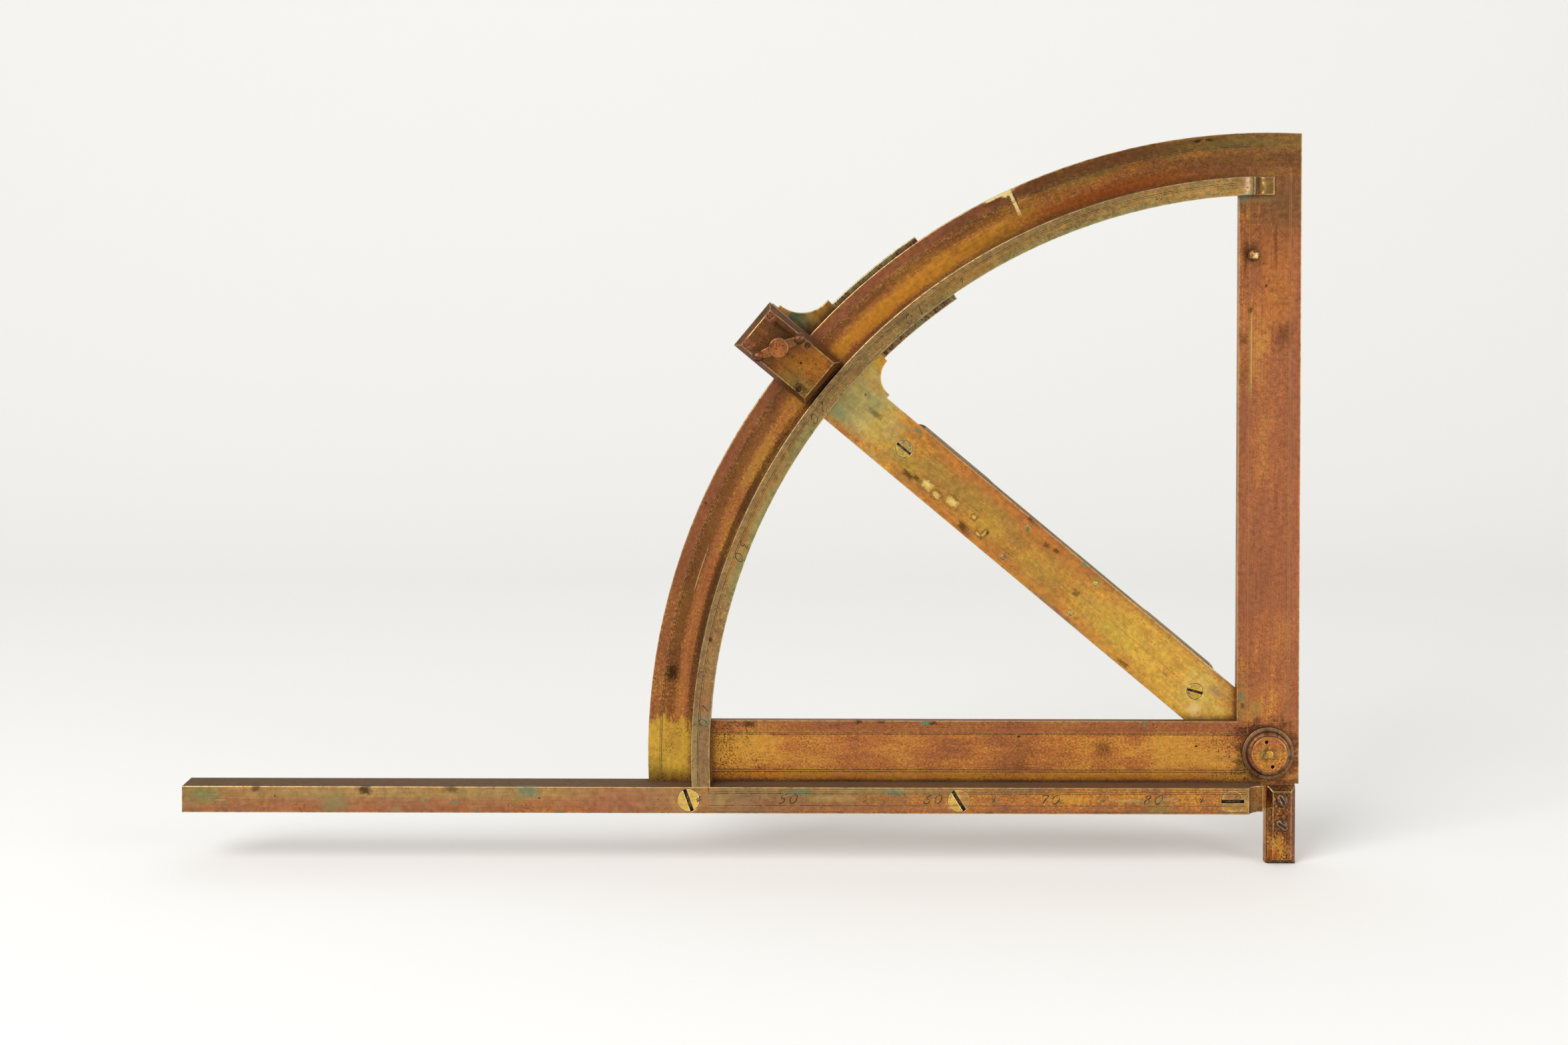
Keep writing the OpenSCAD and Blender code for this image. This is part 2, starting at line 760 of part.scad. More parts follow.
// Half section of a domed cap: a small flat and a round shoulder.
module dome_outline(margin) {
    intersection() {
        square([tube_r + margin, cap_dome_l + margin]);
        union() {
            square([tube_r - cap_dome_l, cap_dome_l + margin]);
            translate([tube_r - cap_dome_l, 0]) circle(r = cap_dome_l + margin);
        }
    }
}

// Brass tube with a sight slot on its upper side, towards the back.
module level_tube() {
    straight = slot_l - slot_w;
    color(BRASS) on_arm() difference() {
        along_level() translate([bore_r, tube_from]) square([tube_wall, tube_to - tube_from]);
        translate([-tube_mid, tube_y + slot_w / 4, tube_up]) {
            translate([-straight / 2, -slot_w / 2, 0]) cube([straight, slot_w, tube_r + 1]);
            for (side = [-1, 1]) {
                translate([side * straight / 2, 0, 0]) cylinder(r = slot_w / 2, h = tube_r + 1);
            }
        }
    }
}

// Two domed caps, each with a plug inside the tube.
module level_end_caps() {
    color(WORN_BRASS) on_arm() along_level() {
        translate([0, tube_to]) dome_outline(0);
        translate([0, tube_to - cap_plug_l]) square([bore_r, cap_plug_l]);
        translate([0, tube_from]) mirror([0, 1]) dome_outline(0);
        translate([0, tube_from]) square([bore_r, cap_plug_l]);
    }
}

// Glass vial, held in its packing at both ends.
module level_vial() {
    color(GLASS, 0.4) on_arm() along_level() {
        translate([spirit_r, vial_from]) square([vial_wall, vial_to - vial_from]);
    }
}

// Spirit in the vial; the bubble lies at the raised end of the arm.
module level_spirit() {
    bubble_x = -vial_to + bubble_l + 2 * bubble_r;
    color(SPIRIT, 0.6) on_arm() difference() {
        along_level() translate([0, vial_from]) square([spirit_r, vial_to - vial_from]);
        translate([bubble_x, tube_y, tube_up + spirit_r - bubble_r * bubble_rise]) {
            sphere(r = bubble_r);
            translate([-bubble_l, 0, 0]) sphere(r = bubble_r);
            translate([-bubble_l, 0, 0]) rotate([0, 90, 0]) cylinder(r = bubble_r, h = bubble_l);
        }
    }
}

// Plaster packing that centres and closes the vial.
module vial_packing() {
    color(PLASTER) on_arm() along_level() {
        translate([0, vial_to]) square([bore_r, cap_base_t]);
        translate([vial_r, vial_to - packing_l]) square([bore_r - vial_r, packing_l]);
        translate([0, vial_from - cap_base_t]) square([bore_r, cap_base_t]);
        translate([vial_r, vial_from]) square([bore_r - vial_r, packing_l]);
    }
}

// Two cradled feet between the arm and the level's ends.
module level_feet() {
    color(BRASS) on_arm() difference() {
        for (x = level_screw_at) {
            translate([-x - level_foot_l / 2, arm_back, -level_foot_w / 2]) {
                cube([level_foot_l, level_foot_h, level_foot_w]);
            }
        }
        level_outside(eps);
        for (x = level_screw_at) {
            rod(-x, 0, level_shank_r + eps, arm_back - 1, arm_back + level_grip);
        }
    }
}

// Two flush screws from the arm's front into the feet.
module level_screws() {
    color(SCREW_BRASS) on_arm() for (i = [0:1]) {
        flush_screw(-level_screw_at[i], 0, level_screw_r[i], level_head_t, level_shank_r,
            arm_y, arm_back + level_grip, level_screw_turn[i], level_slot_w);
    }
}

// Saddle under the middle of the level.
module level_saddle() {
    color(DARK_BRASS) on_arm() difference() {
        translate([-saddle_mid - saddle_l / 2, arm_back, -saddle_w / 2]) {
            cube([saddle_l, saddle_h, saddle_w]);
        }
        level_outside(eps);
        for (x = rivet_at, side = [-1, 1]) {
            rod(-x, side * rivet_side, rivet_r + eps, arm_back - 1, arm_back + rivet_grip);
        }
    }
}

// Four rivets that hold the saddle, flush in the arm's front.
module saddle_rivets() {
    color(WORN_BRASS) on_arm() for (x = rivet_at, side = [-1, 1]) {
        rod(-x, side * rivet_side, rivet_r, arm_y, arm_back + rivet_grip);
    }
}

// Bevelled clamp box outside the rib; its hollow guides the shoe.
module clamp_box() {
    color(BRASS) on_arm() difference() {
        bevelled_block(-box_to, -box_from, -box_hw, box_hw, -box_gap - base_t, -box_h,
            box_bevel_w, box_bevel_h);
        translate([-well_to, -well_top, -well_hw]) {
            cube([well_to - well_from, well_top, 2 * well_hw]);
        }
        rod(-screw_at, 0, screw_r + thread_gap, -box_h - 1, -well_top + 1);
        for (i = [0:3]) {
            rod(-clamp_pin_u[i], clamp_pin_w[i], clamp_pin_r + eps, -box_h - 1, 0);
        }
    }
}

// Thin plate that closes the box towards the arc, with an opening for the shoe.
module clamp_base() {
    color(DARK_BRASS) on_arm() slab(-box_gap - base_t, -box_gap) difference() {
        translate([-box_to, -box_hw]) square([box_to - box_from, 2 * box_hw]);
        translate([-base_slot_to, -well_hw]) square([base_slot_to - well_from, 2 * well_hw]);
        for (i = [0:3]) {
            translate([-clamp_pin_u[i], clamp_pin_w[i]]) circle(r = clamp_pin_r + eps);
        }
    }
}

// Filler between arm and box, just outside the arc's edge.
module clamp_block() {
    color(BRASS) on_arm() slab(-box_gap, arm_y) difference() {
        translate([block_inset - box_to, block_inset - box_hw]) {
            square([box_to - arc_r, 2 * (box_hw - block_inset)]);
        }
        circle(r = arc_r + block_gap);
        for (i = [0:1]) {
            translate([-clamp_pin_u[i], clamp_pin_w[i]]) circle(r = clamp_pin_r + eps);
        }
    }
}

// Two long pins through box, block and arm, and two short ones through box and base.
module clamp_pins() {
    color(DARK_BRASS) on_arm() for (i = [0:3]) {
        rod(-clamp_pin_u[i], clamp_pin_w[i], clamp_pin_r, -box_h, i < 2 ? arm_back : -box_gap);
    }
}

// Shoe that the thumbscrew presses on the arc.
module clamp_shoe() {
    color(WORN_BRASS) on_arm() difference() {
        union() {
            translate([-pad_to, -shoe_top, -shoe_hw]) {
                cube([pad_to - shoe_from, shoe_top - slide_gap, 2 * shoe_hw]);
            }
            translate([-shoe_to, -shoe_top, -shoe_hw]) {
                cube([shoe_to - shoe_from, shoe_top - shoe_step, 2 * shoe_hw]);
            }
        }
        rod(-screw_at, 0, spigot_r + spigot_gap, -shoe_top - 1, spigot_gap - spigot_end);
        translate([pin_line, -groove_mid, -shoe_hw - 1]) {
            cylinder(r = shoe_pin_r + eps, h = 2 * shoe_hw + 2);
        }
    }
}

// Cross pin in the shoe that keeps the thumbscrew's end.
module shoe_pin() {
    color(DARK_BRASS) on_arm() translate([pin_line, -groove_mid, -shoe_hw]) {
        cylinder(r = shoe_pin_r, h = 2 * shoe_hw);
    }
}

// Barrel-shaped end of a wing, along X.
module wing_barrel() {
    rotate([0, 90, 0]) rotate_extrude() intersection() {
        translate([-barrel_bulge, 0]) circle(r = barrel_r + barrel_bulge);
        translate([0, -barrel_l / 2]) square([barrel_r, barrel_l]);
    }
}

// Thumbscrew: grooved spigot, threaded shank, round hub and two wings with barrel ends.
module thumbscrew() {
    web_to = wing_span - barrel_l + 0.3;
    color(SCREW_BRASS) on_arm() translate([-screw_at, 0, 0]) {
        turned() polygon([
            [0, spigot_end], [spigot_r, spigot_end], [spigot_r, groove_lo], [groove_r, groove_lo],
            [groove_r, groove_hi], [spigot_r, groove_hi], [spigot_r, shoe_top + spigot_gap],
            [screw_r, shoe_top + spigot_gap], [screw_r, hub_foot], [hub_r - hub_neck, hub_foot],
            [hub_r - hub_neck, wing_foot - hub_neck_l], [hub_r, wing_foot],
            [hub_r, hub_top - hub_edge], [hub_r - hub_edge, hub_top], [0, hub_top]
        ]);
        rotate([0, -arm_angle - wing_tilt, 0]) for (side = [0, 1]) {
            mirror([side, 0, 0]) {
                translate([wing_span - barrel_l / 2, -wing_mid, 0]) wing_barrel();
                slab(-wing_mid - web_t / 2, -wing_mid + web_t / 2) polygon([
                    [hub_r / 2, -web_hw_hub], [web_to, -web_hw_end],
                    [web_to, web_hw_end], [hub_r / 2, web_hw_hub]
                ]);
            }
        }
    }
}

frame_plate();
long_bar();
bar_screws();
plumb_scale_rib();
plumb_peg();
foot_strip();
foot_screws();
index_arm();
vernier_plate();
vernier_screws();
pivot_pin();
pivot_collar();
pivot_nut();
level_tube();
level_end_caps();
level_vial();
level_spirit();
vial_packing();
level_feet();
level_screws();
level_saddle();
saddle_rivets();
clamp_box();
clamp_base();
clamp_block();
clamp_pins();
clamp_shoe();
shoe_pin();
thumbscrew();
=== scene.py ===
"""Looks of the brass gunner's quadrant: aged brass, engraved scales, glass level, and a plain pale stage."""

import math

import bmesh
import bpy
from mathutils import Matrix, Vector


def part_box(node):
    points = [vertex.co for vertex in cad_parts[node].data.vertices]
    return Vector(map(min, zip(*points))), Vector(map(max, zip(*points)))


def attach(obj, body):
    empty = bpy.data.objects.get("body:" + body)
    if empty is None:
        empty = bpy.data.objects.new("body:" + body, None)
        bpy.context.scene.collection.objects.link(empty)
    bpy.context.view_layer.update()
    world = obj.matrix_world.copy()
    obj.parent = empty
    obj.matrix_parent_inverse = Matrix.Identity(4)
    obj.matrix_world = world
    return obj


bl_info = {
    "name": "Gunner's quadrant looks",
    "version": (1, 0, 0),
    "blender": (4, 5, 0),
    "location": "View3D > Sidebar > Quadrant",
    "description": "Gives the quadrant its aged brass, its engraved scales and its plain studio",
    "category": "Object",
}

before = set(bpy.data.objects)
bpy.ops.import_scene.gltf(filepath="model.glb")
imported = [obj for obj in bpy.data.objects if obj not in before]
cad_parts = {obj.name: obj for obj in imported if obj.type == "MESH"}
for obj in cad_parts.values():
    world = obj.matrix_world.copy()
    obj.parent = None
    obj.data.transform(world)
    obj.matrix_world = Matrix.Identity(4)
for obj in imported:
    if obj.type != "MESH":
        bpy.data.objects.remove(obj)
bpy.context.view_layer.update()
MM = 0.001


def middle(node):
    """Centre of a CAD node's box, in metres."""
    low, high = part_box(node)
    return (low + high) / 2


PIVOT = Vector((middle("pivot_nut").x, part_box("frame_plate")[0].y, middle("pivot_nut").z))
PLATE_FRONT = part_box("frame_plate")[0].y
PLATE_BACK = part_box("frame_plate")[1].y
BAR_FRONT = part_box("long_bar")[0].y
BAR_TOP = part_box("long_bar")[1].z - PIVOT.z
BAR_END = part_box("long_bar")[1].x - PIVOT.x
ARM_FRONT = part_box("index_arm")[0].y
LAP_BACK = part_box("vernier_plate")[1].y
PEG = Vector((middle("plumb_peg").x, 0.0, middle("plumb_peg").z))
ARC_OUTER = PIVOT.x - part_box("frame_plate")[0].x
LIMB = 2 * (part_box("frame_plate")[1].x - PIVOT.x)
ARC_INNER = ARC_OUTER - LIMB
RIB_WIDTH = 5.2 * MM
RIB_OUTER = ARC_INNER + RIB_WIDTH
# The plumb scale's first number on the bar, and how far the engraved lines stay off the bar's top
FIRST_ON_BAR = 45
LINE_GAP = 0.2 * MM
ARM_ANGLE = math.radians(39.7)
# Front faces of the raised pieces, in millimetres behind the plate's
BAR_FACE = (BAR_FRONT - PLATE_FRONT) / MM
ARM_FACE = (ARM_FRONT - PLATE_FRONT) / MM
CLAMP_FACE = (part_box("clamp_box")[0].y - PLATE_FRONT) / MM
# Patches, in millimetres: how deep a zone and a mark go, the size under which a patch has fine borders, and the
# width of the rim round a chip
THROUGH = 1000.0
MARK_DEPTH = 1.5
SMALL_PATCH = 2.0
CHIP_RIM = 0.4


def linear(code):
    """Linear colour with alpha from an sRGB hex value."""
    values = [int(code[i : i + 2], 16) / 255 for i in (1, 3, 5)]
    return [v / 12.92 if v <= 0.04045 else ((v + 0.055) / 1.055) ** 2.4 for v in values] + [1.0]


def colour(title, told, code):
    """A colour that a user can change."""
    return bpy.props.FloatVectorProperty(
        name=title, description=told, subtype="COLOR", size=4, min=0.0, max=1.0, default=linear(code)
    )


def length(title, told, size):
    """A length that a user can change, given in millimetres."""
    return bpy.props.FloatProperty(name=title, description=told, subtype="DISTANCE", unit="LENGTH", default=size * MM)


class QuadrantColours(bpy.types.PropertyGroup):
    """Colours of the brass and of what has settled on it."""

    brown: colour("Brown", "Old lacquer that has turned red-brown", "#8c5734")
    orange: colour("Orange", "Thin lacquer over bright brass", "#b56f38")
    gold: colour("Gold", "Brass where the lacquer has gone", "#c9913d")
    yellow: colour("Yellow", "Clean yellow brass", "#cfa63e")
    amber: colour("Amber", "Lacquer that has turned amber", "#c07a26")
    brick: colour("Brick", "Lacquer that has turned brick red", "#8b543b")
    rust: colour("Rust", "Bright red-brown lacquer in corners", "#a54c1e")
    rose: colour("Rose", "Pink tarnish, richer in copper", "#a26348")
    # Umber also paints the shade on faces that look up, and the dark strips on the rib's end moulding
    umber: colour("Umber", "Thick dark lacquer and oxide", "#4f361b")
    olive: colour("Olive", "Brass toned by handling", "#8f8340")
    khaki: colour("Khaki", "Grey-yellow tarnish on the bar", "#a98f58")
    drab: colour("Drab", "Dull brown tarnish on the bar and rib", "#86684a")
    sage: colour("Sage", "Thin grey-green bloom", "#84895a")
    green: colour("Green", "Verdigris", "#4f7d63")
    teal: colour("Teal", "Specks of bright verdigris", "#4c8a74")
    violet: colour("Violet", "Grey-violet tarnish", "#7c6259")
    pale: colour("Pale", "Pale bloom on the arm's head", "#b4a86c")
    fresh: colour("Fresh", "Bright metal along edges and in scratches", "#e8cd8c")
    # Fresh also paints the highlights on the plumb peg's tip and on the rib's end moulding
    chip: colour("Chip", "Bare metal where lacquer has flaked off", "#d8b25e")
    fleck: colour("Fleck", "Specks of thick lacquer", "#4d2812")
    # Dark also paints the shade in corners and along the plate's lower edge next to the bar
    dark: colour("Dark", "Dirt and oxide in corners and pits", "#26180c")
    ink: colour("Ink", "Wax in the engraved lines", "#22180c")
    glass: colour("Glass", "Glass of the level's vial", "#eef6f1")
    spirit: colour("Spirit", "Spirit in the vial", "#dfe07c")
    plaster: colour("Plaster", "Plaster round the vial's ends", "#ddd6c6")
    floor: colour("Floor", "Pale floor and backdrop", "#f3f3f1")


class QuadrantSizes(bpy.types.PropertyGroup):
    """Sizes of the engraving."""

    numeral: length("Numeral height", "Height of the scale's numerals", 2.45)
    spread: length("Numeral spread", "Distance between the two figures of a numeral", 3.1)
    stroke: length("Stroke", "Width of an engraved stroke at its thickest", 0.34)
    hairline: length("Hairline", "Width of a scribed line", 0.15)
    strip: length("Strip", "Width of the strip that carries the divisions", 1.72)
    proud: length("Wax", "How far the wax in a line stands over the brass", 0.012)
    seam: length("Seam", "Width of the dark line round a screw or a pin", 0.12)


class QuadrantStage(bpy.types.PropertyGroup):
    """Floor, lamps and camera."""

    key: bpy.props.FloatProperty(name="Key", description="Power of the large lamp, in watts", min=0.0, default=16.0)
    fill: bpy.props.FloatProperty(name="Fill", description="Power of the side lamp, in watts", min=0.0, default=7.0)
    sky: bpy.props.FloatProperty(name="Sky", description="Strength of the even light", min=0.0, default=0.62)


# Node trees


def add(tree, kind, values=(), **settings):
    """Adds a node. The kind can name an operation too. The values go to inputs, by name or in order, and a node or
    a socket among them is linked. The settings are properties of the node."""
    kind, _, operation = kind.partition(" ")
    node = tree.nodes.new(kind if kind.startswith(("NodeGroup", "Geometry", "Function")) else "ShaderNode" + kind)
    if operation:
        node.operation = operation
    for name, value in settings.items():
        setattr(node, name, value)
    for key, value in values.items() if isinstance(values, dict) else enumerate(values):
        if isinstance(value, bpy.types.Node):
            value = value.outputs[0]
        if isinstance(value, bpy.types.NodeSocket):
            tree.links.new(value, node.inputs[key])
        else:
            node.inputs[key].default_value = value
    return node


def group(name, inputs, outputs, family="Shader"):
    """A new tree for a group. Its inputs and outputs are given by name, each with its kind or with a first value."""
    tree = bpy.data.node_groups.new(name, family + "NodeTree")
    kinds = {bool: "Bool", int: "Int", float: "Float"}
    for way, rows in (("INPUT", inputs), ("OUTPUT", outputs)):
        for title, given in rows.items():
            kind = given if isinstance(given, str) else kinds[type(given)]
            made = tree.interface.new_socket(name=title, in_out=way, socket_type="NodeSocket" + kind)
            if given is not kind:
                made.default_value = given
    return tree


def tone_tree():
    """Old lacquer over brass before any wear: brown where it is thick, orange where it is thin, gold where it is
    gone. Vector is in millimetres, with X along the way in which the piece was drawn and polished."""
    shades = {"Brown": "Color", "Orange": "Color", "Gold": "Color"}
    tree = group("Lacquer tone", {"Vector": "Vector", **shades, "Level": 0.5}, {"Color": "Color"})
    given = add(tree, "NodeGroupInput").outputs
    place = given["Vector"]
    drawn = add(tree, "VectorMath MULTIPLY", [place, (0.25, 1.0, 1.0)])
    # Clouds of 25 mm, streaks of 4 mm, and a grain of half a millimetre that breaks up every border
    clouds = add(tree, "TexNoise", {"Scale": 0.045, "Detail": 2.0, "Vector": place})
    streaks = add(tree, "TexNoise", {"Scale": 0.24, "Detail": 4.0, "Roughness": 0.6, "Vector": drawn})
    short = add(tree, "VectorMath MULTIPLY", [place, (0.8, 1.0, 1.0)])
    grain = add(tree, "TexNoise", {"Scale": 2.1, "Detail": 2.0, "Roughness": 0.6, "Vector": short})
    level = add(tree, "Math MULTIPLY_ADD", [clouds, 0.7, given["Level"]])
    level = add(tree, "Math MULTIPLY_ADD", [streaks, 0.5, level])
    level = add(tree, "Math MULTIPLY_ADD", [grain, 0.9, level])
    # The three noises add 1.05 on average
    thin = add(tree, "MapRange", [level, 1.4, 1.56], interpolation_type="SMOOTHSTEP")
    bare = add(tree, "MapRange", [level, 1.58, 1.7], interpolation_type="SMOOTHSTEP")
    base = add(tree, "Mix", {0: thin, 6: given["Brown"], 7: given["Orange"]}, data_type="RGBA")
    base = add(tree, "Mix", {0: bare, 6: base.outputs[2], 7: given["Gold"]}, data_type="RGBA")
    add(tree, "NodeGroupOutput", {"Color": base.outputs[2]})
    return tree


def wear_tree():
    """What the years put over the lacquer: flecks, fine lines, pits, verdigris, bright edges, and dirt in corners; the
    corners also get painted shade.
    """
    shades = dict.fromkeys(("Color", "Fleck", "Dark", "Green", "Fresh"), "Color")
    amounts = {"Lines": 0.1, "Speckle": 0.5, "Pits": 0.2, "Verdigris": 0.15, "Edge wear": 0.75, "Dirt and shade": 0.75}
    results = {"Color": "Color", "Metallic": "Float", "Roughness": "Float", "Normal": "Vector"}
    tree = group("Wear", {"Vector": "Vector", **shades, **amounts}, results)
    given = add(tree, "NodeGroupInput").outputs
    place = given["Vector"]
    # Flecks: specks of old lacquer up to a millimetre long, thicker in some places. Half speckle covers a fifth
    short = add(tree, "VectorMath MULTIPLY", [place, (0.85, 1.0, 1.0)])
    specks = add(tree, "TexNoise", {"Scale": 2.2, "Detail": 3.0, "Roughness": 0.62, "Vector": short})
    clump = add(tree, "TexNoise", {"Scale": 0.2, "Detail": 3.0, "Vector": short})
    start = add(tree, "Math MULTIPLY_ADD", [given["Speckle"], -0.16, 0.83])
    start = add(tree, "Math MULTIPLY_ADD", [clump, -0.32, start])
    end = add(tree, "Math ADD", [start, 0.06])
    fleck = add(tree, "MapRange", [specks, start, end, 0.0, 0.75])
    base = add(tree, "Mix", {0: fleck, 6: given["Color"], 7: given["Fleck"]}, data_type="RGBA")
    # Fine lines from drawing and polishing, and a mottle of a millimetre
    long = add(tree, "VectorMath MULTIPLY", [place, (0.05, 2.6, 2.6)])
    lines = add(tree, "TexNoise", {"Scale": 1.0, "Detail": 2.0, "Vector": long})
    mottle = add(tree, "TexNoise", {"Scale": 0.75, "Detail": 2.0, "Vector": place})
    lined = add(tree, "MapRange", [lines, 0.3, 0.7, -1.0])
    lined = add(tree, "Math MULTIPLY_ADD", [lined, given["Lines"], 1.0])
    mottled = add(tree, "MapRange", [mottle, 0.3, 0.7, 0.84, 1.16])
    depth = add(tree, "Math MULTIPLY", [lined, mottled])
    base = add(tree, "VectorMath SCALE", {0: base.outputs[2], "Scale": depth})
    # Pits: ragged spots up to a millimetre wide
    warp = add(tree, "TexNoise", {"Scale": 1.1, "Detail": 2.0, "Vector": place})
    warped = add(tree, "VectorMath MULTIPLY_ADD", [warp.outputs["Color"], (0.9, 0.9, 0.9), place])
    cells = add(tree, "TexVoronoi", {"Scale": 0.24, "Vector": warped})
    chance = add(tree, "SeparateColor", {"Color": cells.outputs["Color"]}).outputs
    reach = add(tree, "Math MULTIPLY_ADD", [chance[1], 0.12, 0.04])
    near = add(tree, "Math MULTIPLY", [reach, 0.5])
    spot = add(tree, "MapRange", [cells, reach, near])
    rare = add(tree, "Math LESS_THAN", [chance[0], given["Pits"]])
    pit = add(tree, "Math MULTIPLY", [spot, rare])
    base = add(tree, "Mix", {0: pit, 6: base, 7: given["Dark"]}, data_type="RGBA")
    # Verdigris in small ragged clouds
    bloom = add(tree, "TexNoise", {"Scale": 0.22, "Detail": 6.0, "Roughness": 0.66, "Vector": place})
    bloom_low = add(tree, "MapRange", [given["Verdigris"], 0.0, 1.0, 0.8, 0.54])
    bloom_high = add(tree, "Math ADD", [bloom_low, 0.07])
    bloom_mask = add(tree, "MapRange", [bloom, bloom_low, bloom_high, 0.0, 0.6])
    base = add(tree, "Mix", {0: bloom_mask, 6: base.outputs[2], 7: given["Green"]}, data_type="RGBA")
    # Edges: rounded by nearly half a millimetre, and rubbed bright
    soft = add(tree, "Bevel", {"Radius": 0.45 * MM}, samples=6)
    flat = add(tree, "NewGeometry").outputs["Normal"]
    same = add(tree, "VectorMath DOT_PRODUCT", [soft, flat]).outputs["Value"]
    rub = add(tree, "MapRange", [same, 0.995, 0.93])
    broken = add(tree, "MapRange", [mottle, 0.3, 0.55, 0.3])
    rub = add(tree, "Math MULTIPLY", [rub, broken])
    # Corners: painted shade and dirt within two millimetres of a wall, from ambient occlusion, broken up by specks
    shade = add(tree, "AmbientOcclusion", {"Distance": 2.2 * MM}, samples=8)
    corner_dirt_and_shade = add(tree, "MapRange", [shade.outputs["AO"], 0.86, 0.45])
    open_edge = add(tree, "Math SUBTRACT", [1.0, corner_dirt_and_shade])
    rub = add(tree, "Math MULTIPLY", [rub, open_edge])
    rub = add(tree, "Math MULTIPLY", [rub, given["Edge wear"]])
    crumbs = add(tree, "MapRange", [specks, 0.35, 0.6, 0.4])
    corner_dirt_and_shade = add(tree, "Math MULTIPLY", [corner_dirt_and_shade, given["Dirt and shade"]])
    corner_dirt_and_shade = add(tree, "Math MULTIPLY", [corner_dirt_and_shade, crumbs])
    base = add(tree, "Mix", {0: rub, 6: base.outputs[2], 7: given["Fresh"]}, data_type="RGBA")
    # Corners are painted dark: painted shade, mixed with dirt
    base = add(tree, "Mix", {0: corner_dirt_and_shade, 6: base.outputs[2], 7: given["Dark"]}, data_type="RGBA")
    # The dirt and painted shade in corners, and verdigris, aren't metal
    cover = add(tree, "Math MAXIMUM", [corner_dirt_and_shade, bloom_mask])
    metal = add(tree, "MapRange", [cover, 0.0, 1.0, 0.95, 0.35])
    # Roughness: satin, smoother where rubbed, dull on flecks and on the dirt and painted shade in corners
    rough = add(tree, "MapRange", [mottle, 0.3, 0.7, 0.34, 0.46])
    rough = add(tree, "Math MULTIPLY_ADD", [fleck, 0.2, rough])
    rough = add(tree, "Math MULTIPLY_ADD", [cover, 0.3, rough])
    rough = add(tree, "Math MULTIPLY_ADD", [rub, -0.1, rough])
    # Relief: lines, flecks and pits, a few hundredths of a millimetre deep
    relief = add(tree, "Math MULTIPLY_ADD", [specks, 0.7, lines])
    relief = add(tree, "Math MULTIPLY_ADD", [pit, -1.5, relief])
    bump = add(tree, "Bump", {"Strength": 0.5, "Distance": 0.035 * MM, "Height": relief, "Normal": soft})
    add(tree, "NodeGroupOutput", {"Color": base.outputs[2], "Metallic": metal, "Roughness": rough, "Normal": bump})
    return tree


def patch_tree():
    """A ragged patch with rounded corners: its strength inside, 0 outside. Centre and Half size are in millimetres."""
    places = dict.fromkeys(("Vector", "Centre", "Half size"), "Vector")
    amounts = {"Noise": 0.5, "Softness": 0.3, "Raggedness": 2.0, "Strength": 1.0}
    tree = group("Patch", {**places, **amounts}, {"Mask": "Float"})
    given = add(tree, "NodeGroupInput").outputs
    offset = add(tree, "VectorMath SUBTRACT", [given["Vector"], given["Centre"]])
    offset = add(tree, "VectorMath DIVIDE", [offset, given["Half size"]])
    offset = add(tree, "VectorMath MULTIPLY", [offset, offset])
    away = add(tree, "VectorMath LENGTH", [offset]).outputs["Value"]
    away = add(tree, "Math SQRT", [away])
    ragged = add(tree, "Math SUBTRACT", [given["Noise"], 0.5])
    away = add(tree, "Math MULTIPLY_ADD", [ragged, given["Raggedness"], away])
    far = add(tree, "Math ADD", [1.0, given["Softness"]])
    near = add(tree, "Math SUBTRACT", [1.0, given["Softness"]])
    mask = add(tree, "MapRange", [away, far, near, 0.0, given["Strength"]], interpolation_type="SMOOTHSTEP")
    add(tree, "NodeGroupOutput", {"Mask": mask})
    return tree


def tree_named(name, make):
    """A node tree by its name, made once."""
    return bpy.data.node_groups.get(name) or make()


def flow(tree, way):
    """Two vectors in millimetres from the pivot: the plain place, and one with X along the way the piece was drawn."""
    turn = ARM_ANGLE if way == "arm" else 0.0
    values = {"Location": PIVOT, "Rotation": (0.0, turn, 0.0), "Scale": (MM, MM, MM)}
    values["Vector"] = add(tree, "TexCoord").outputs["Object"]
    place = add(tree, "Mapping", values, vector_type="TEXTURE")
    if way in ("straight", "arm"):
        return place, place
    x, y, z = add(tree, "SeparateXYZ", [place]).outputs
    swapped = add(tree, "CombineXYZ", [z, y, x])
    if way == "upright":
        return place, swapped
    radius = add(tree, "VectorMath LENGTH", [add(tree, "CombineXYZ", [x, 0.0, z])]).outputs["Value"]
    angle = add(tree, "Math ARCTAN2", [z, add(tree, "Math MULTIPLY", [x, -1.0])])
    around = add(tree, "Math MULTIPLY", [angle, ARC_INNER / MM])
    circling = add(tree, "CombineXYZ", [around, y, radius])
    if way == "round":
        return place, circling
    # The frame: the lower limb is drawn along X, the upright one along Z, and the arc along itself up to the corner
    edge = LIMB / 2 / MM
    right = add(tree, "Math GREATER_THAN", [x, -edge])
    upright = add(tree, "Math MULTIPLY", [right, add(tree, "Math GREATER_THAN", [z, edge])])
    limbs = add(tree, "Mix", {0: upright, 4: place, 5: swapped}, data_type="VECTOR").outputs[1]
    inner = add(tree, "Math MULTIPLY_ADD", [right, 6.0, ARC_INNER / MM - 0.5])
    arc = add(tree, "Math GREATER_THAN", [radius, inner])
    return place, add(tree, "Mix", {0: arc, 4: limbs, 5: circling}, data_type="VECTOR").outputs[1]


def blank(name):
    """A new material and its empty tree."""
    material = bpy.data.materials.new(name)
    material.use_nodes = True
    material.node_tree.nodes.clear()
    return material, material.node_tree


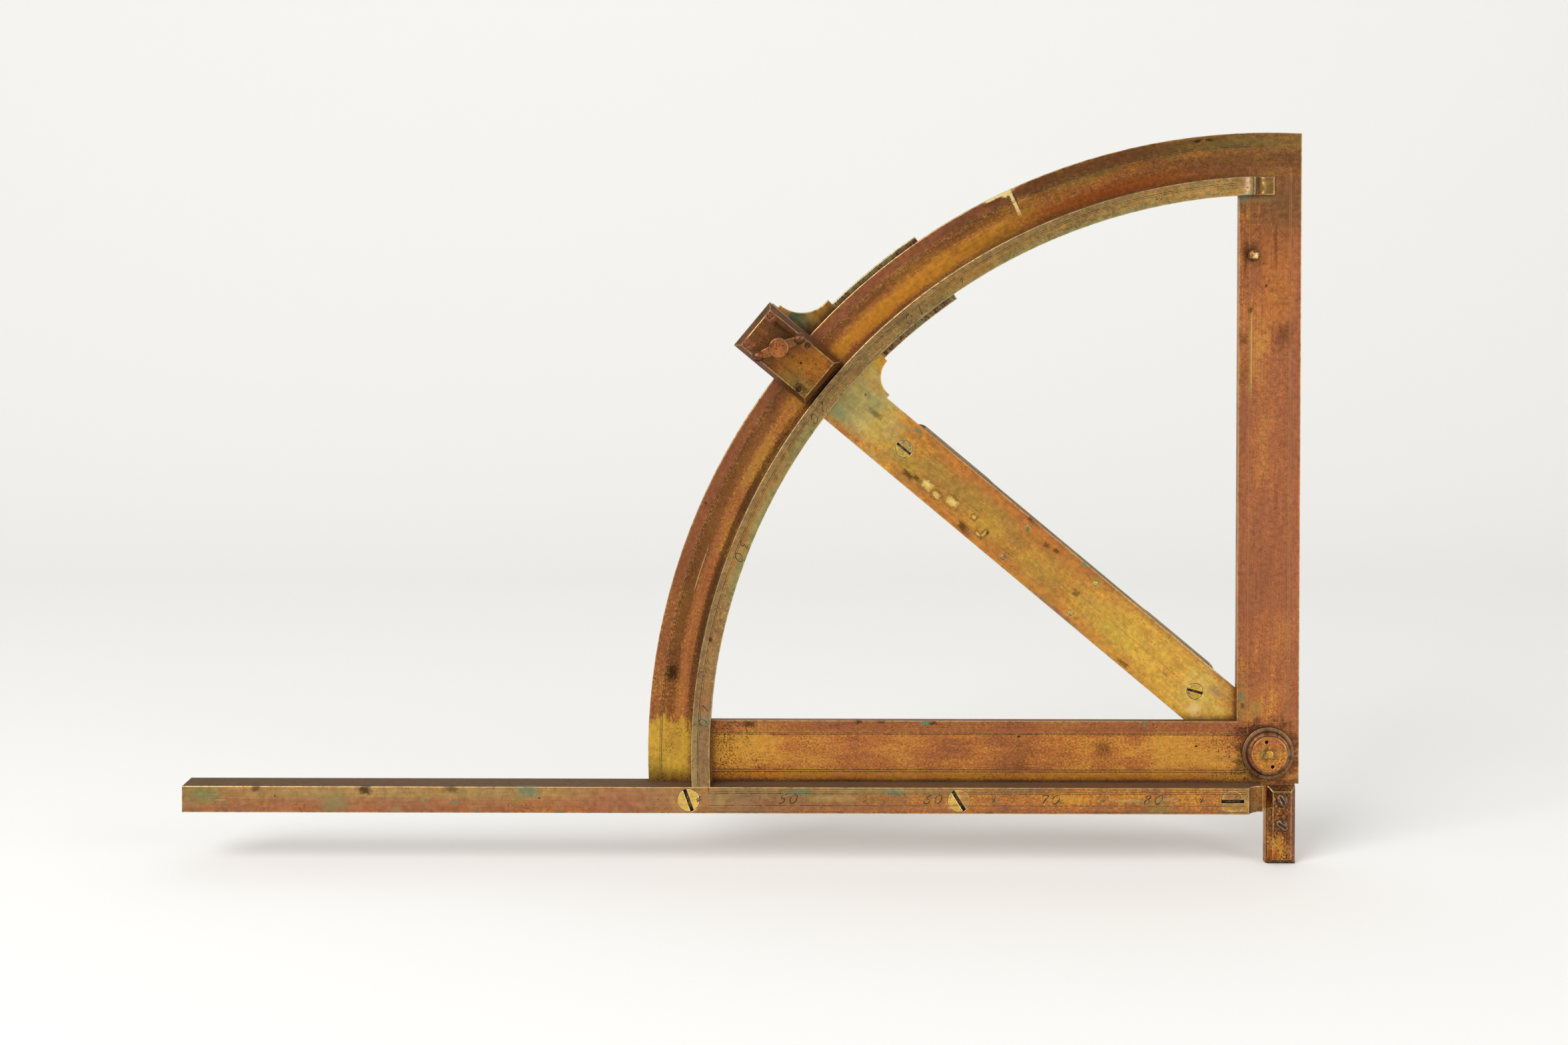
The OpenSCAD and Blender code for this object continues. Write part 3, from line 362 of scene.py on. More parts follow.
def brass(name, way, tones, finish=(), level=0.5, zones=(), marks=(), face=0.0, top_shade_strength=0.0):
    """Aged lacquered brass, drawn and then polished by hand: satin metal that goes from red-brown to gold.
    Level is how much of the lacquer has gone. A zone lies under the wear, through the whole piece, and a mark over it,
    on the front face only. Face is that face, in millimetres behind the plate's. The last argument is how strongly the
    faces that look up are painted dark, dull and not metal: painted shade in place of a dark reflection."""
    shades = bpy.context.scene.quadrant_colours
    material, tree = blank(name)
    place, drawn = flow(tree, way)
    long = add(tree, "VectorMath MULTIPLY", [drawn, (0.35, 1.0, 1.0)])
    coarse = add(tree, "TexNoise", {"Scale": 0.4, "Detail": 5.0, "Roughness": 0.6, "Vector": long})
    fine = add(tree, "TexNoise", {"Scale": 1.3, "Detail": 4.0, "Roughness": 0.6, "Vector": place})

    def patch(x, z, wide, high, strength, softness, depth=THROUGH):
        values = {
            "Vector": drawn,
            "Noise": fine if min(wide, high) < SMALL_PATCH else coarse,
            "Centre": (x, face, z),
            "Half size": (wide, depth, high),
            "Softness": softness,
            "Raggedness": 1.6 + 1.6 * softness,
            "Strength": strength,
        }
        return add(tree, "Group", values, node_tree=tree_named("Patch", patch_tree))

    def paint(under, mask, tone):
        return add(tree, "Mix", {0: mask, 6: under, 7: getattr(shades, tone)}, data_type="RGBA").outputs[2]

    def shifted(value, what):
        """A value with the zones of one kind added to it."""
        for *spot, tone, strength, softness in zones:
            if tone == what:
                value = add(tree, "Math ADD", [patch(*spot, strength, softness), value])
        return value

    values = {socket: getattr(shades, tone) for socket, tone in zip(("Brown", "Orange", "Gold"), tones.split())}
    values.update({"Level": shifted(level, "level"), "Vector": drawn})
    painted = add(tree, "Group", values, node_tree=tree_named("Lacquer tone", tone_tree)).outputs["Color"]
    for *spot, tone, strength, softness in zones:
        if tone not in ("level", "speckle"):
            painted = paint(painted, patch(*spot, strength, softness), tone)
    if top_shade_strength:
        # Faces that look up are painted umber: painted shade in place of a dark reflection
        facing = add(tree, "SeparateXYZ", [add(tree, "TexCoord").outputs["Normal"]]).outputs[2]
        top_shade = add(tree, "MapRange", [facing, 0.6, 0.9, 0.0, top_shade_strength])
        painted = paint(painted, top_shade, "umber")
    values = {"Speckle": 0.5, "Pits": 0.2, "Verdigris": 0.15, "Edge wear": 0.75, "Dirt and shade": 0.75}
    values.update(finish)
    values["Speckle"] = shifted(values["Speckle"], "speckle")
    values.update({"Fleck": shades.fleck, "Dark": shades.dark, "Green": shades.green, "Fresh": shades.fresh})
    values.update({"Vector": drawn, "Color": painted})
    metal = add(tree, "Group", values, node_tree=tree_named("Wear", wear_tree)).outputs
    painted = metal["Color"]
    for x, z, wide, high, tone, strength, softness in marks:
        if tone == "chip":
            # A chip has a dark rim of lifted lacquer
            rim = patch(x, z, wide + CHIP_RIM, high + CHIP_RIM, 0.7, softness, MARK_DEPTH)
            painted = paint(painted, rim, "umber")
        painted = paint(painted, patch(x, z, wide, high, strength, softness, MARK_DEPTH), tone)
    metallic, roughness = metal["Metallic"], metal["Roughness"]
    if top_shade_strength:
        # The painted shade on faces that look up is not metal, and it is dull
        metallic = add(tree, "Math SUBTRACT", [metallic, top_shade], use_clamp=True)
        roughness = add(tree, "Math MAXIMUM", [roughness, top_shade])
    values = {"Base Color": painted, "Metallic": metallic, "Roughness": roughness, "Normal": metal["Normal"]}
    add(tree, "OutputMaterial", [add(tree, "BsdfPrincipled", values)])
    return material


def wax():
    """Engraver's wax, rubbed into cut lines and dried: dark, dull and a little uneven."""
    material, tree = blank("engravers_wax")
    shades = bpy.context.scene.quadrant_colours
    worn = add(tree, "TexNoise", {"Scale": 0.9, "Detail": 4.0, "Vector": flow(tree, "straight")[0]})
    worn = add(tree, "MapRange", [worn, 0.5, 0.75])
    painted = add(tree, "Mix", {0: worn, 6: shades.ink, 7: shades.olive}, data_type="RGBA").outputs[2]
    surface = add(tree, "BsdfPrincipled", {"Roughness": 0.62, "Metallic": 0.3, "Base Color": painted})
    add(tree, "OutputMaterial", [surface])
    return material


def burr(name="graver_burr_brass", low="drab", high="gold"):
    """Lip of metal that a graver throws up beside its cut: bright at first, and toned where it is worn."""
    material, tree = blank(name)
    shades = bpy.context.scene.quadrant_colours
    worn = add(tree, "TexNoise", {"Scale": 1.3, "Detail": 3.0, "Vector": flow(tree, "straight")[0]})
    tones = {6: getattr(shades, low), 7: getattr(shades, high)}
    painted = add(tree, "Mix", {0: worn, **tones}, data_type="RGBA").outputs[2]
    surface = add(tree, "BsdfPrincipled", {"Roughness": 0.4, "Metallic": 1.0, "Base Color": painted})
    add(tree, "OutputMaterial", [surface])
    return material


def clear(name, tone, ior, roughness):
    """Clear blown glass or still liquid: smooth, with faint seeds or clouding."""
    material, tree = blank(name)
    seeds = add(tree, "TexNoise", {"Scale": 0.5, "Detail": 2.0, "Vector": flow(tree, "arm")[0]})
    misted = add(tree, "MapRange", [seeds, 0.0, 1.0, roughness, roughness + 0.05])
    values = {"Base Color": tone, "IOR": ior, "Transmission Weight": 1.0, "Roughness": misted}
    add(tree, "OutputMaterial", [add(tree, "BsdfPrincipled", values)])
    return material


def plaster():
    """Cast plaster: chalky, matt and slightly grained."""
    material, tree = blank("cast_plaster")
    shades = bpy.context.scene.quadrant_colours
    chalk = add(tree, "TexNoise", {"Scale": 2.5, "Detail": 5.0, "Vector": flow(tree, "arm")[0]})
    painted = add(tree, "Mix", {0: chalk, 6: shades.plaster, 7: shades.pale}, data_type="RGBA").outputs[2]
    bump = add(tree, "Bump", {"Strength": 0.4, "Distance": 0.05 * MM, "Height": chalk})
    surface = add(tree, "BsdfPrincipled", {"Roughness": 0.9, "Base Color": painted, "Normal": bump})
    add(tree, "OutputMaterial", [surface])
    return material


def dress(material, *nodes):
    """Gives CAD nodes a material."""
    for name in nodes:
        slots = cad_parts[name].data.materials
        slots.clear()
        slots.append(material)


def placed(name, data):
    """A new object in the scene."""
    piece = bpy.data.objects.new(name, data)
    bpy.context.scene.collection.objects.link(piece)
    return piece


# Engraved strokes

# Each figure is one or more strokes, parted by commas, through points across and up in hundredths of its height
FIGURES = {
    "0": "42 100 10 78 3 42 20 6 42 0 68 20 76 58 66 92 42 100",
    "1": "22 80 42 100 40 50 38 0",
    "2": "8 76 30 100 62 90 60 62 30 30 2 3 30 10 55 0 76 10",
    "3": "10 97 68 98, 68 98 36 60 66 46 66 16 36 0 6 12",
    "4": "52 100 30 68 2 32, 2 32 40 33 78 35, 56 72 54 0",
    "5": "30 94 74 104, 30 94 22 60 50 60 66 36 52 6 24 0 2 12",
    "6": "70 98 34 80 8 42 14 8 40 0 66 18 62 46 36 54 12 34",
    "7": "4 86 14 100 72 98, 72 98 46 50 30 0",
    "8": "40 54 12 76 34 100 62 90 58 66 40 54 10 30 20 3 52 2 70 26 40 54",
    "9": "68 66 40 46 12 60 16 90 44 100 70 84 66 50 44 16 10 0",
}
# A division of five is marked by three short slanting cuts
FLEUR = "0 28 24 70, 12 2 40 44 62 98, 34 12 82 50"


def smooth(points, steps=6):
    """A smooth line through points."""
    if len(points) < 3:
        return [Vector(p) for p in points]
    shut = points[0] == points[-1]
    before = points[-2] if shut else points[0]
    after = points[1] if shut else points[-1]
    line = [Vector(p) for p in (before, *points, after)]
    out = []
    for a, b, c, d in zip(line, line[1:], line[2:], line[3:]):
        for t in (i / steps for i in range(steps)):
            spot = 2 * b + (c - a) * t + (2 * a - 5 * b + 4 * c - d) * t * t
            out.append(0.5 * (spot + (3 * b - a - 3 * c + d) * t * t * t))
    return [*out, line[-2]]


def strokes_of(figure):
    """The strokes of a figure as smooth lines, in a box one unit high."""
    for stroke in figure.split(","):
        numbers = [int(n) / 100 for n in stroke.split()]
        yield smooth(list(zip(numbers[::2], numbers[1::2])))


class Engraving:
    """Collects engraved strokes on one flat face. Its points are metres right of and above the pivot, and turn is
    the angle that they are turned by about it."""

    def __init__(self, face, proud, facing=-1.0, turn=0.0):
        self.mesh = bmesh.new()
        self.face, self.proud, self.facing, self.turn = face, proud, facing, turn

    def put(self, x, z, out):
        c, s = math.cos(self.turn), math.sin(self.turn)
        return self.mesh.verts.new((PIVOT.x + x * c + z * s, self.face + self.facing * out, PIVOT.z - x * s + z * c))

    def cut(self, points, widths, shift=(0.0, 0.0)):
        """One stroke: a thin closed bar that follows the points."""
        rings = []
        for i, p in enumerate(points):
            ahead = points[min(i + 1, len(points) - 1)] - points[max(i - 1, 0)]
            side = Vector((-ahead.y, ahead.x)).normalized() * widths[i] / 2
            a, b = p + side + Vector(shift), p - side + Vector(shift)
            corners = ((a, self.proud), (b, self.proud), (b, -self.proud), (a, -self.proud))
            rings.append([self.put(*corner, out) for corner, out in corners])
        for near, far in zip(rings, rings[1:]):
            for i in range(4):
                self.mesh.faces.new((near[i], near[(i + 1) % 4], far[(i + 1) % 4], far[i]))
        self.mesh.faces.new(rings[0])
        self.mesh.faces.new(reversed(rings[-1]))

    def line(self, start, end, width):
        """A straight scribed line."""
        self.cut([Vector(start), Vector(end)], [width, width])

    def arc(self, radius, first, last, width, steps=64):
        """A scribed arc about the pivot between two angles measured up from the left."""
        turns = [first + (last - first) * i / steps for i in range(steps + 1)]
        self.cut([Vector((-radius * math.cos(a), radius * math.sin(a))) for a in turns], [width] * len(turns))

    def figure(self, figure, centre, up, height, width, slant, shift=(0.0, 0.0), mirror=1.0, above=None):
        """A figure or an ornament with its middle at a centre. Strokes thin out at their ends."""
        up = Vector(up).normalized()
        right = Vector((up.y, -up.x)) * mirror
        for stroke in strokes_of(figure):
            points = [
                Vector(centre) + right * height * (p.x - 0.4 + slant * (p.y - 0.5)) + up * height * (p.y - 0.5)
                for p in stroke
            ]
            if above is not None:
                points = [p for p in points if p.y > above]
            if len(points) < 2:
                continue
            last = len(points) - 1
            swells = [math.sin(math.pi * (0.12 + 0.76 * i / last)) for i in range(last + 1)]
            self.cut(points, [width * (0.45 + 0.55 * swell) for swell in swells], shift)

    def finish(self, name, material, body):
        """Makes the piece and sets it on its body."""
        bmesh.ops.remove_doubles(self.mesh, verts=self.mesh.verts, dist=1e-7)
        bmesh.ops.recalc_face_normals(self.mesh, faces=self.mesh.faces)
        mesh = bpy.data.meshes.new(name)
        self.mesh.to_mesh(mesh)
        self.mesh.free()
        mesh.materials.append(material)
        piece = placed(name, mesh)
        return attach(piece, body)


def material_named(name, make):
    """A material by its name, made once."""
    return bpy.data.materials.get(name) or make()


def divisions_tree():
    """Cuts the divisions of a scale. Each aims at one point, and starts on a round or a straight edge."""
    shape = {"Geometry": "Geometry"}
    row = {"Count": 10, "First": 0.0, "Step": 0.0174533, "Number": 0, "Aim": "Vector", "Centre": "Vector"}
    edge = {"Radius": 0.1, "Straight": False, "Level": 0.0, "Face": 0.0}
    lengths = {"Short": 0.001, "Middle": 0.0015, "Long": 0.002, "Side": 1.0, "Width": 0.0001, "Depth": 0.00002}
    inputs = {**shape, **row, **edge, **lengths, "Material": "Material"}
    tree = group("Scale divisions", inputs, shape, "Geometry")
    given = add(tree, "NodeGroupInput").outputs
    index = add(tree, "GeometryNodeInputIndex")
    angle = add(tree, "Math MULTIPLY_ADD", [index, given["Step"], given["First"]])
    cosine = add(tree, "Math COSINE", [angle])
    sine = add(tree, "Math SINE", [angle])
    aim = add(tree, "CombineXYZ", [cosine, 0.0, sine])
    away = add(tree, "VectorMath SCALE", {"Scale": -1.0, 0: aim})
    # Distance along the aim to the round edge
    from_centre = add(tree, "VectorMath SUBTRACT", [given["Aim"], given["Centre"]])
    b = add(tree, "VectorMath DOT_PRODUCT", [from_centre, away]).outputs["Value"]
    square = add(tree, "VectorMath DOT_PRODUCT", [from_centre, from_centre]).outputs["Value"]
    radius_2 = add(tree, "Math MULTIPLY", [given["Radius"], given["Radius"]])
    rest = add(tree, "Math SUBTRACT", [radius_2, square])
    root = add(tree, "Math MULTIPLY_ADD", [b, b, rest])
    root = add(tree, "Math SQRT", [root])
    round_way = add(tree, "Math SUBTRACT", [root, b])
    # Distance along the aim to the straight edge
    height = add(tree, "SeparateXYZ", [given["Aim"]]).outputs[2]
    drop = add(tree, "Math SUBTRACT", [height, given["Level"]])
    straight_way = add(tree, "Math DIVIDE", [drop, sine])
    way = add(tree, "GeometryNodeSwitch", [given["Straight"], round_way, straight_way], input_type="FLOAT")
    # Fives and tens are longer
    number = add(tree, "Math ADD", [index, given["Number"]])
    by_five = add(tree, "Math MODULO", [number, 5.0])
    by_ten = add(tree, "Math MODULO", [number, 10.0])
    five = add(tree, "Math LESS_THAN", [by_five, 0.5])
    ten = add(tree, "Math LESS_THAN", [by_ten, 0.5])
    reach = add(tree, "Mix", {0: five, 2: given["Short"], 3: given["Middle"]}, data_type="FLOAT")
    reach = add(tree, "Mix", {0: ten, 2: reach, 3: given["Long"]}, data_type="FLOAT")
    half = add(tree, "Math MULTIPLY", [reach, 0.5])
    half = add(tree, "Math MULTIPLY", [half, given["Side"]])
    way = add(tree, "Math SUBTRACT", [way, half])
    place = add(tree, "VectorMath SCALE", {0: away, "Scale": way})
    place = add(tree, "VectorMath ADD", [place, given["Aim"]])
    axes = add(tree, "SeparateXYZ", [place]).outputs
    place = add(tree, "CombineXYZ", [axes[0], given["Face"], axes[2]])
    points = add(tree, "GeometryNodePoints", {"Count": given["Count"], "Position": place})
    turn = add(tree, "Math MULTIPLY", [angle, -1.0])
    turned = add(tree, "FunctionNodeEulerToRotation", [add(tree, "CombineXYZ", [0.0, turn])])
    size = add(tree, "CombineXYZ", [reach, given["Depth"], given["Width"]])
    bar = add(tree, "GeometryNodeMeshCube", {"Size": (1.0, 1.0, 1.0)})
    values = {"Points": points, "Instance": bar, "Rotation": turned, "Scale": size}
    cuts = add(tree, "GeometryNodeInstanceOnPoints", values)
    real = add(tree, "GeometryNodeRealizeInstances", [cuts])
    coated = add(tree, "GeometryNodeSetMaterial", {"Geometry": real, "Material": given["Material"]})
    add(tree, "NodeGroupOutput", [coated])
    return tree


def rings_tree():
    """Sets a thin dark ring round each point of a mesh, for the joint line of a screw, pin or rivet."""
    shape = {"Geometry": "Geometry"}
    inputs = {**shape, "Radius": 0.003, "Width": 0.0001, "Depth": 0.00002, "Material": "Material"}
    tree = group("Joint rings", inputs, shape, "Geometry")
    given = add(tree, "NodeGroupInput").outputs
    path = add(tree, "GeometryNodeCurvePrimitiveCircle", {"Resolution": 48, "Radius": given["Radius"]})
    profile = add(tree, "GeometryNodeCurvePrimitiveQuadrilateral", {"Width": given["Width"], "Height": given["Depth"]})
    ring = add(tree, "GeometryNodeCurveToMesh", [path, profile])
    upright = add(tree, "FunctionNodeEulerToRotation", [(math.pi / 2, 0.0, 0.0)])
    values = {"Points": given["Geometry"], "Instance": ring, "Rotation": upright}
    rings = add(tree, "GeometryNodeInstanceOnPoints", values)
    real = add(tree, "GeometryNodeRealizeInstances", [rings])
    coated = add(tree, "GeometryNodeSetMaterial", {"Geometry": real, "Material": given["Material"]})
    add(tree, "NodeGroupOutput", [coated])
    return tree


def grow(name, tree, values, body, points=()):
    """Runs a tree on a mesh of points and keeps the result as a plain piece on a body."""
    seed_mesh = bpy.data.meshes.new(name + "_points")
    seed_mesh.from_pydata([tuple(p) for p in points], [], [])
    seed = placed(name + "_points", seed_mesh)
    modifier = seed.modifiers.new("Nodes", "NODES")
    modifier.node_group = tree
    keys = {item.name: item.identifier for item in tree.interface.items_tree if item.in_out == "INPUT"}
    for key, value in values.items():
        modifier[keys[key]] = value
    bpy.context.view_layer.update()
    grown = seed.evaluated_get(bpy.context.evaluated_depsgraph_get())
    mesh = bpy.data.meshes.new_from_object(grown)
    if not mesh.polygons:
        raise RuntimeError(f"{name} came out empty")
    mesh.name = name
    bpy.data.objects.remove(seed)
    piece = placed(name, mesh)
    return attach(piece, body)


def along_arm(distance, across=0.0, depth=0.0):
    """A point on the arm, from its distance out from the pivot and across its centre line, in metres."""
    c, s = math.cos(ARM_ANGLE), math.sin(ARM_ANGLE)
    return Vector((PIVOT.x - distance * c + across * s, depth, PIVOT.z + distance * s + across * c))


# Patches. A row is a centre and a half size in millimetres from the pivot, what it changes (a colour, the level or the
# speckle), a strength and a softness. Zones lie under the wear, and marks over it

# Lower limb: along and across it
LOWER_ZONES = [
    (-151, 1, 9, 5.6, "level", 0.22, 0.5),
    (-128, 0.5, 18, 5, "level", 0.08, 0.6),
    (-68, 1, 20, 5, "level", -0.06, 0.6),
    (-24, 0.5, 14, 5, "level", 0.2, 0.6),
    (-3, 0, 9, 9, "speckle", 0.6, 0.5),
    (-84, -6.9, 76, 1.1, "level", 0.14, 0.5),
    (-84, -6.9, 76, 1.1, "amber", 0.5, 0.4),
    (-80, 7.3, 85, 1.9, "brick", 0.6, 0.4),
    (-159.6, 0, 1.4, 9, "dark", 0.45, 0.9),
    # The dark strip along the lower edge, next to the bar, is painted shade with some dirt in it
    (-80, -8.5, 82, 0.6, "dark", 0.65, 0.9),
    (-154, 1, 7, 8, "speckle", 0.5, 0.8),
    (-84, 1, 62, 7, "speckle", -0.22, 0.5),
    (-104, 0.5, 28, 5, "rose", 0.2, 0.7),
]

LOWER_MARKS = [
    (-98.3, 8.3, 1.3, 0.45, "teal", 0.8, 0.5),
    (-35.4, 7.9, 0.4, 0.4, "teal", 0.8, 0.5),
    (-148.9, 7.9, 1.6, 0.8, "dark", 0.7, 0.6),
    (-117.4, 8.6, 0.9, 0.5, "dark", 0.7, 0.6),
    (-110.9, 8.6, 0.9, 0.4, "dark", 0.6, 0.6),
    (-96, 8.3, 1, 0.5, "dark", 0.7, 0.5),
    (-71.5, 4.5, 0.35, 0.25, "dark", 0.9, 0.4),
    (-20.6, 1.8, 0.35, 0.25, "dark", 0.9, 0.4),
    (-70.7, -3.8, 1.6, 0.9, "dark", 0.35, 0.8),
    (-47.2, 1.3, 1.9, 1.6, "dark", 0.5, 0.9),
    (0, 0, 8.5, 8.5, "dark", 0.6, 0.2),
]

# Upright limb: up and across it
UPRIGHT_ZONES = [
    (94, 0, 80, 14, "level", -0.13, 0.2),
    (94, 0, 80, 14, "speckle", -0.35, 0.2),
    (136, 2.5, 11, 4.5, "level", 0.1, 0.8),
    (100, -0.5, 22, 4.5, "level", 0.13, 0.7),
    (117, -2.4, 3, 2.2, "level", 0.25, 0.6),
    (14, 0, 6, 5.5, "level", 0.14, 0.6),
    (72, 0, 70, 12, "rose", 0.5, 0.5),
    (90, 7.4, 84, 1.5, "rose", 0.5, 0.4),
    (135, 2, 12, 4.5, "orange", 0.5, 0.8),
    (161, 0, 8, 14, "drab", 0.4, 0.7),
    (161, 0, 9, 14, "umber", 0.35, 0.6),
    (14, -7.5, 6, 1.4, "olive", 0.35, 0.9),
]

UPRIGHT_MARKS = [
    (115, -5.3, 11, 0.7, "amber", 0.35, 0.8),
    (115, -5.3, 11, 0.2, "pale", 0.8, 0.5),
    (127, -5.7, 0.8, 0.6, "dark", 0.7, 0.6),
    (120.5, 4.2, 2.2, 1.8, "dark", 0.45, 0.9),
    (134, -1.1, 0.4, 0.3, "dark", 0.8, 0.5),
    (130.8, 0.8, 1, 1, "gold", 0.35, 1),
    (105.2, -6.1, 0.9, 0.6, "olive", 0.5, 0.7),
    (118.6, -7.6, 1.6, 1.2, "umber", 0.5, 0.7),
    (108.7, -7.3, 3, 1.2, "umber", 0.4, 0.8),
    (142, -7, 4.5, 0.5, "dark", 0.5, 0.8),
    (145, 1.5, 5, 0.5, "dark", 0.45, 0.9),
    (158.8, -8, 0.9, 1.2, "teal", 0.45, 0.9),
    (158.6, -3.2, 0.5, 4.4, "sage", 0.3, 0.9),
    (144.6, -5.6, 1.6, 2.2, "umber", 0.6, 0.9),
    (15.9, -7.8, 0.8, 0.6, "green", 0.7, 0.6),
    (13.5, -7.3, 0.7, 0.5, "dark", 0.6, 0.6),
    (12.8, -3.8, 2.2, 1.6, "olive", 0.4, 0.8),
]

# Arc and rib: along them, and the radius
# The dark, red and orange bands just outside the rib, at radii from 165 to 170 mm, are painted reflection of the rib's
# side wall in the plate
ARC_ZONES = [
    (135, 171, 126, 10, "speckle", -0.3, 0.2),
    (0.5, 171.5, 7.4, 7, "level", 0.4, 0.2),
    (58, 168.9, 52, 1.5, "level", 0.05, 0.5),
    (96, 168.8, 22, 2.2, "level", 0.14, 0.6),
    (146, 168.8, 36, 2.6, "level", 0.28, 0.5),
    (225, 172, 26, 4.5, "level", -0.08, 0.6),
    (118, 176.1, 112, 1.7, "brick", 0.8, 0.4),
    (118, 176.1, 112, 1.7, "umber", 0.2, 0.4),
    (58, 172.3, 52, 1.9, "umber", 0.75, 0.5),
    (58, 166.3, 48, 0.9, "umber", 0.8, 0.5),
    (58, 168.9, 52, 1.5, "brick", 0.4, 0.5),
    (145, 172.6, 36, 1.3, "umber", 0.6, 0.5),
    (146, 168.8, 36, 2.6, "amber", 0.75, 0.6),
    (110, 171.5, 60, 1.2, "brown", 0.5, 0.7),
    (210, 167.2, 24, 1.8, "rust", 0.75, 0.6),
    (201, 173, 9, 0.9, "olive", 0.5, 0.6),
    (246, 175.2, 20, 2, "olive", 0.6, 0.6),
    (246, 170.2, 22, 1.6, "umber", 0.5, 0.8),
    (246, 167.6, 16, 1.6, "brick", 0.5, 0.8),
    (250, 172, 20, 8, "drab", 0.25, 0.6),
    (222, 171, 52, 10, "umber", 0.4, 0.4),
    (208, 175.6, 30, 2.2, "umber", 0.45, 0.7),
    (0.5, 171.5, 7.4, 7, "yellow", 0.8, 0.3),
    (3, 171.4, 3, 2.4, "brown", 0.35, 1),
    (-4.5, 176, 2.5, 2, "umber", 0.35, 1),
    (-6.5, 171, 1.8, 8, "dark", 0.35, 0.8),
    (3, 171.4, 4, 3, "speckle", 0.3, 0.8),
]

ARC_MARKS = [
    (21.1, 172.3, 1.8, 1.5, "dark", 0.8, 0.6),
    (50, 171, 5.2, 0.1, "fresh", 0.6, 0.5),
    (178.5, 177.4, 3.6, 0.35, "fresh", 1, 0.4),
    (180.8, 177, 1.3, 0.7, "fresh", 1, 0.4),
    (181.7, 174, 0.45, 3.6, "fresh", 0.95, 0.4),
    (182.3, 174.5, 0.14, 2.6, "dark", 0.7, 0.4),
    (232.3, 176.5, 0.9, 0.35, "dark", 0.8, 0.5),
    (235.4, 176.5, 0.9, 0.35, "dark", 0.8, 0.5),
]

RIB_ZONES = [
    (15, 162.2, 5, 1.4, "rose", 0.5, 0.8),
    (60, 162.6, 50, 1.4, "orange", 0.35, 0.8),
    (125, 162.6, 110, 3, "olive", 0.2, 0.6),
    (190, 163, 60, 1.6, "gold", 0.25, 0.8),
    (125, 164.6, 125, 0.9, "drab", 0.5, 0.4),
    (140, 162, 70, 2, "umber", 0.3, 0.8),
    (93, 161.2, 8, 1.1, "sage", 0.6, 0.6),
    (70, 160.9, 10, 0.9, "sage", 0.6, 0.6),
    (52, 161, 6, 1, "sage", 0.6, 0.6),
    (168, 160.7, 16, 0.6, "sage", 0.5, 0.8),
    (205, 160.5, 14, 0.5, "sage", 0.5, 0.8),
    (-3, 162.6, 12, 2.8, "drab", 0.6, 0.6),
    (0, 164.4, 10, 0.9, "khaki", 0.5, 0.6),
    # End moulding: pink-grey tone with a cream painted highlight on its hollow, then dark strips of painted shade on
    # its curves
    (244.8, 162.6, 2.2, 4, "violet", 0.7, 0.3),
    (244.6, 162.8, 0.9, 3, "fresh", 0.45, 0.8),
    (248, 162.6, 0.9, 4, "umber", 0.9, 0.4),
    (250.6, 162.6, 1.7, 4, "umber", 0.5, 0.4),
]

RIB_MARKS = [
    (10.4, 161.8, 1.3, 1.8, "teal", 0.35, 1),
    (244, 159.8, 1.8, 0.8, "teal", 0.5, 0.8),
    (33, 163.2, 0.5, 0.5, "dark", 0.9, 0.4),
]

# Bar, its screws and the peg: right and up
BAR_ZONES = [
    (-160, -12, 150, 5, "level", -0.05, 0.2),
    (-55, -12, 28, 2.6, "level", 0.14, 0.6),
    (-238, -12, 72, 5, "rose", 0.4, 0.3),
    (-238, -11.4, 70, 2.6, "khaki", 0.5, 0.8),
    (-160, -12, 150, 5, "speckle", -0.2, 0.3),
    (-137, -12.4, 26, 3.6, "drab", 0.6, 0.7),
    (-126, -11.6, 6, 0.9, "khaki", 0.7, 0.7),
    (-240, -10, 50, 1.3, "khaki", 0.5, 0.6),
    (-235, -13.8, 70, 1.8, "rose", 0.5, 0.6),
    (-180, -12, 14, 4, "rose", 0.6, 0.7),
    (-112, -9.6, 28, 0.9, "khaki", 0.6, 0.7),
    (-9, -12, 4, 3.5, "khaki", 0.5, 0.7),
    (-165, -12, 16, 4, "khaki", 0.35, 0.7),
    (-3.8, -12, 2.3, 6, "umber", 0.55, 0.4),
    (-3.8, -12, 3, 6, "speckle", 0.5, 0.4),
    (-90, -14.6, 60, 1.2, "rose", 0.4, 0.7),
    (-32, -14, 3, 1.2, "olive", 0.5, 0.8),
    (-304, -10.5, 4.5, 2, "olive", 0.6, 0.8),
    (-302.5, -11, 3, 1.4, "green", 0.4, 0.8),
]

BAR_MARKS = [
    (-288.8, -9.2, 1.1, 0.8, "dark", 0.6, 0.6),
    (-257.7, -9.5, 1.5, 1.2, "dark", 0.8, 0.5),
    (-233.4, -9.2, 1.8, 0.9, "dark", 0.55, 0.6),
    (-298.7, -12.5, 1.4, 0.12, "fresh", 0.3, 0.6),
    (-267, -13, 3.2, 2.2, "sage", 0.55, 0.8),
    (-249, -15.6, 1.2, 0.8, "sage", 0.6, 0.6),
    (-211.7, -10, 2.6, 1.6, "green", 0.6, 0.7),
    (-214.6, -12.4, 1.2, 1.2, "olive", 0.5, 0.7),
    (-232, -13, 0.9, 0.5, "green", 0.55, 0.8),
    (-226, -15.6, 0.8, 0.5, "green", 0.55, 0.8),
    (-202.5, -15.6, 0.8, 0.5, "green", 0.55, 0.8),
    (-240.7, -12.5, 0.7, 0.5, "green", 0.55, 0.8),
    (-156.4, -12.6, 1.2, 1.2, "khaki", 0.7, 0.6),
    (-135, -9.9, 3.5, 0.8, "green", 0.6, 0.7),
    (-108, -9.9, 3, 0.7, "teal", 0.5, 0.7),
    (-41, -12.2, 3.6, 0.4, "pale", 0.5, 0.7),
    (-30, -11.8, 2.2, 0.4, "pale", 0.5, 0.7),
]

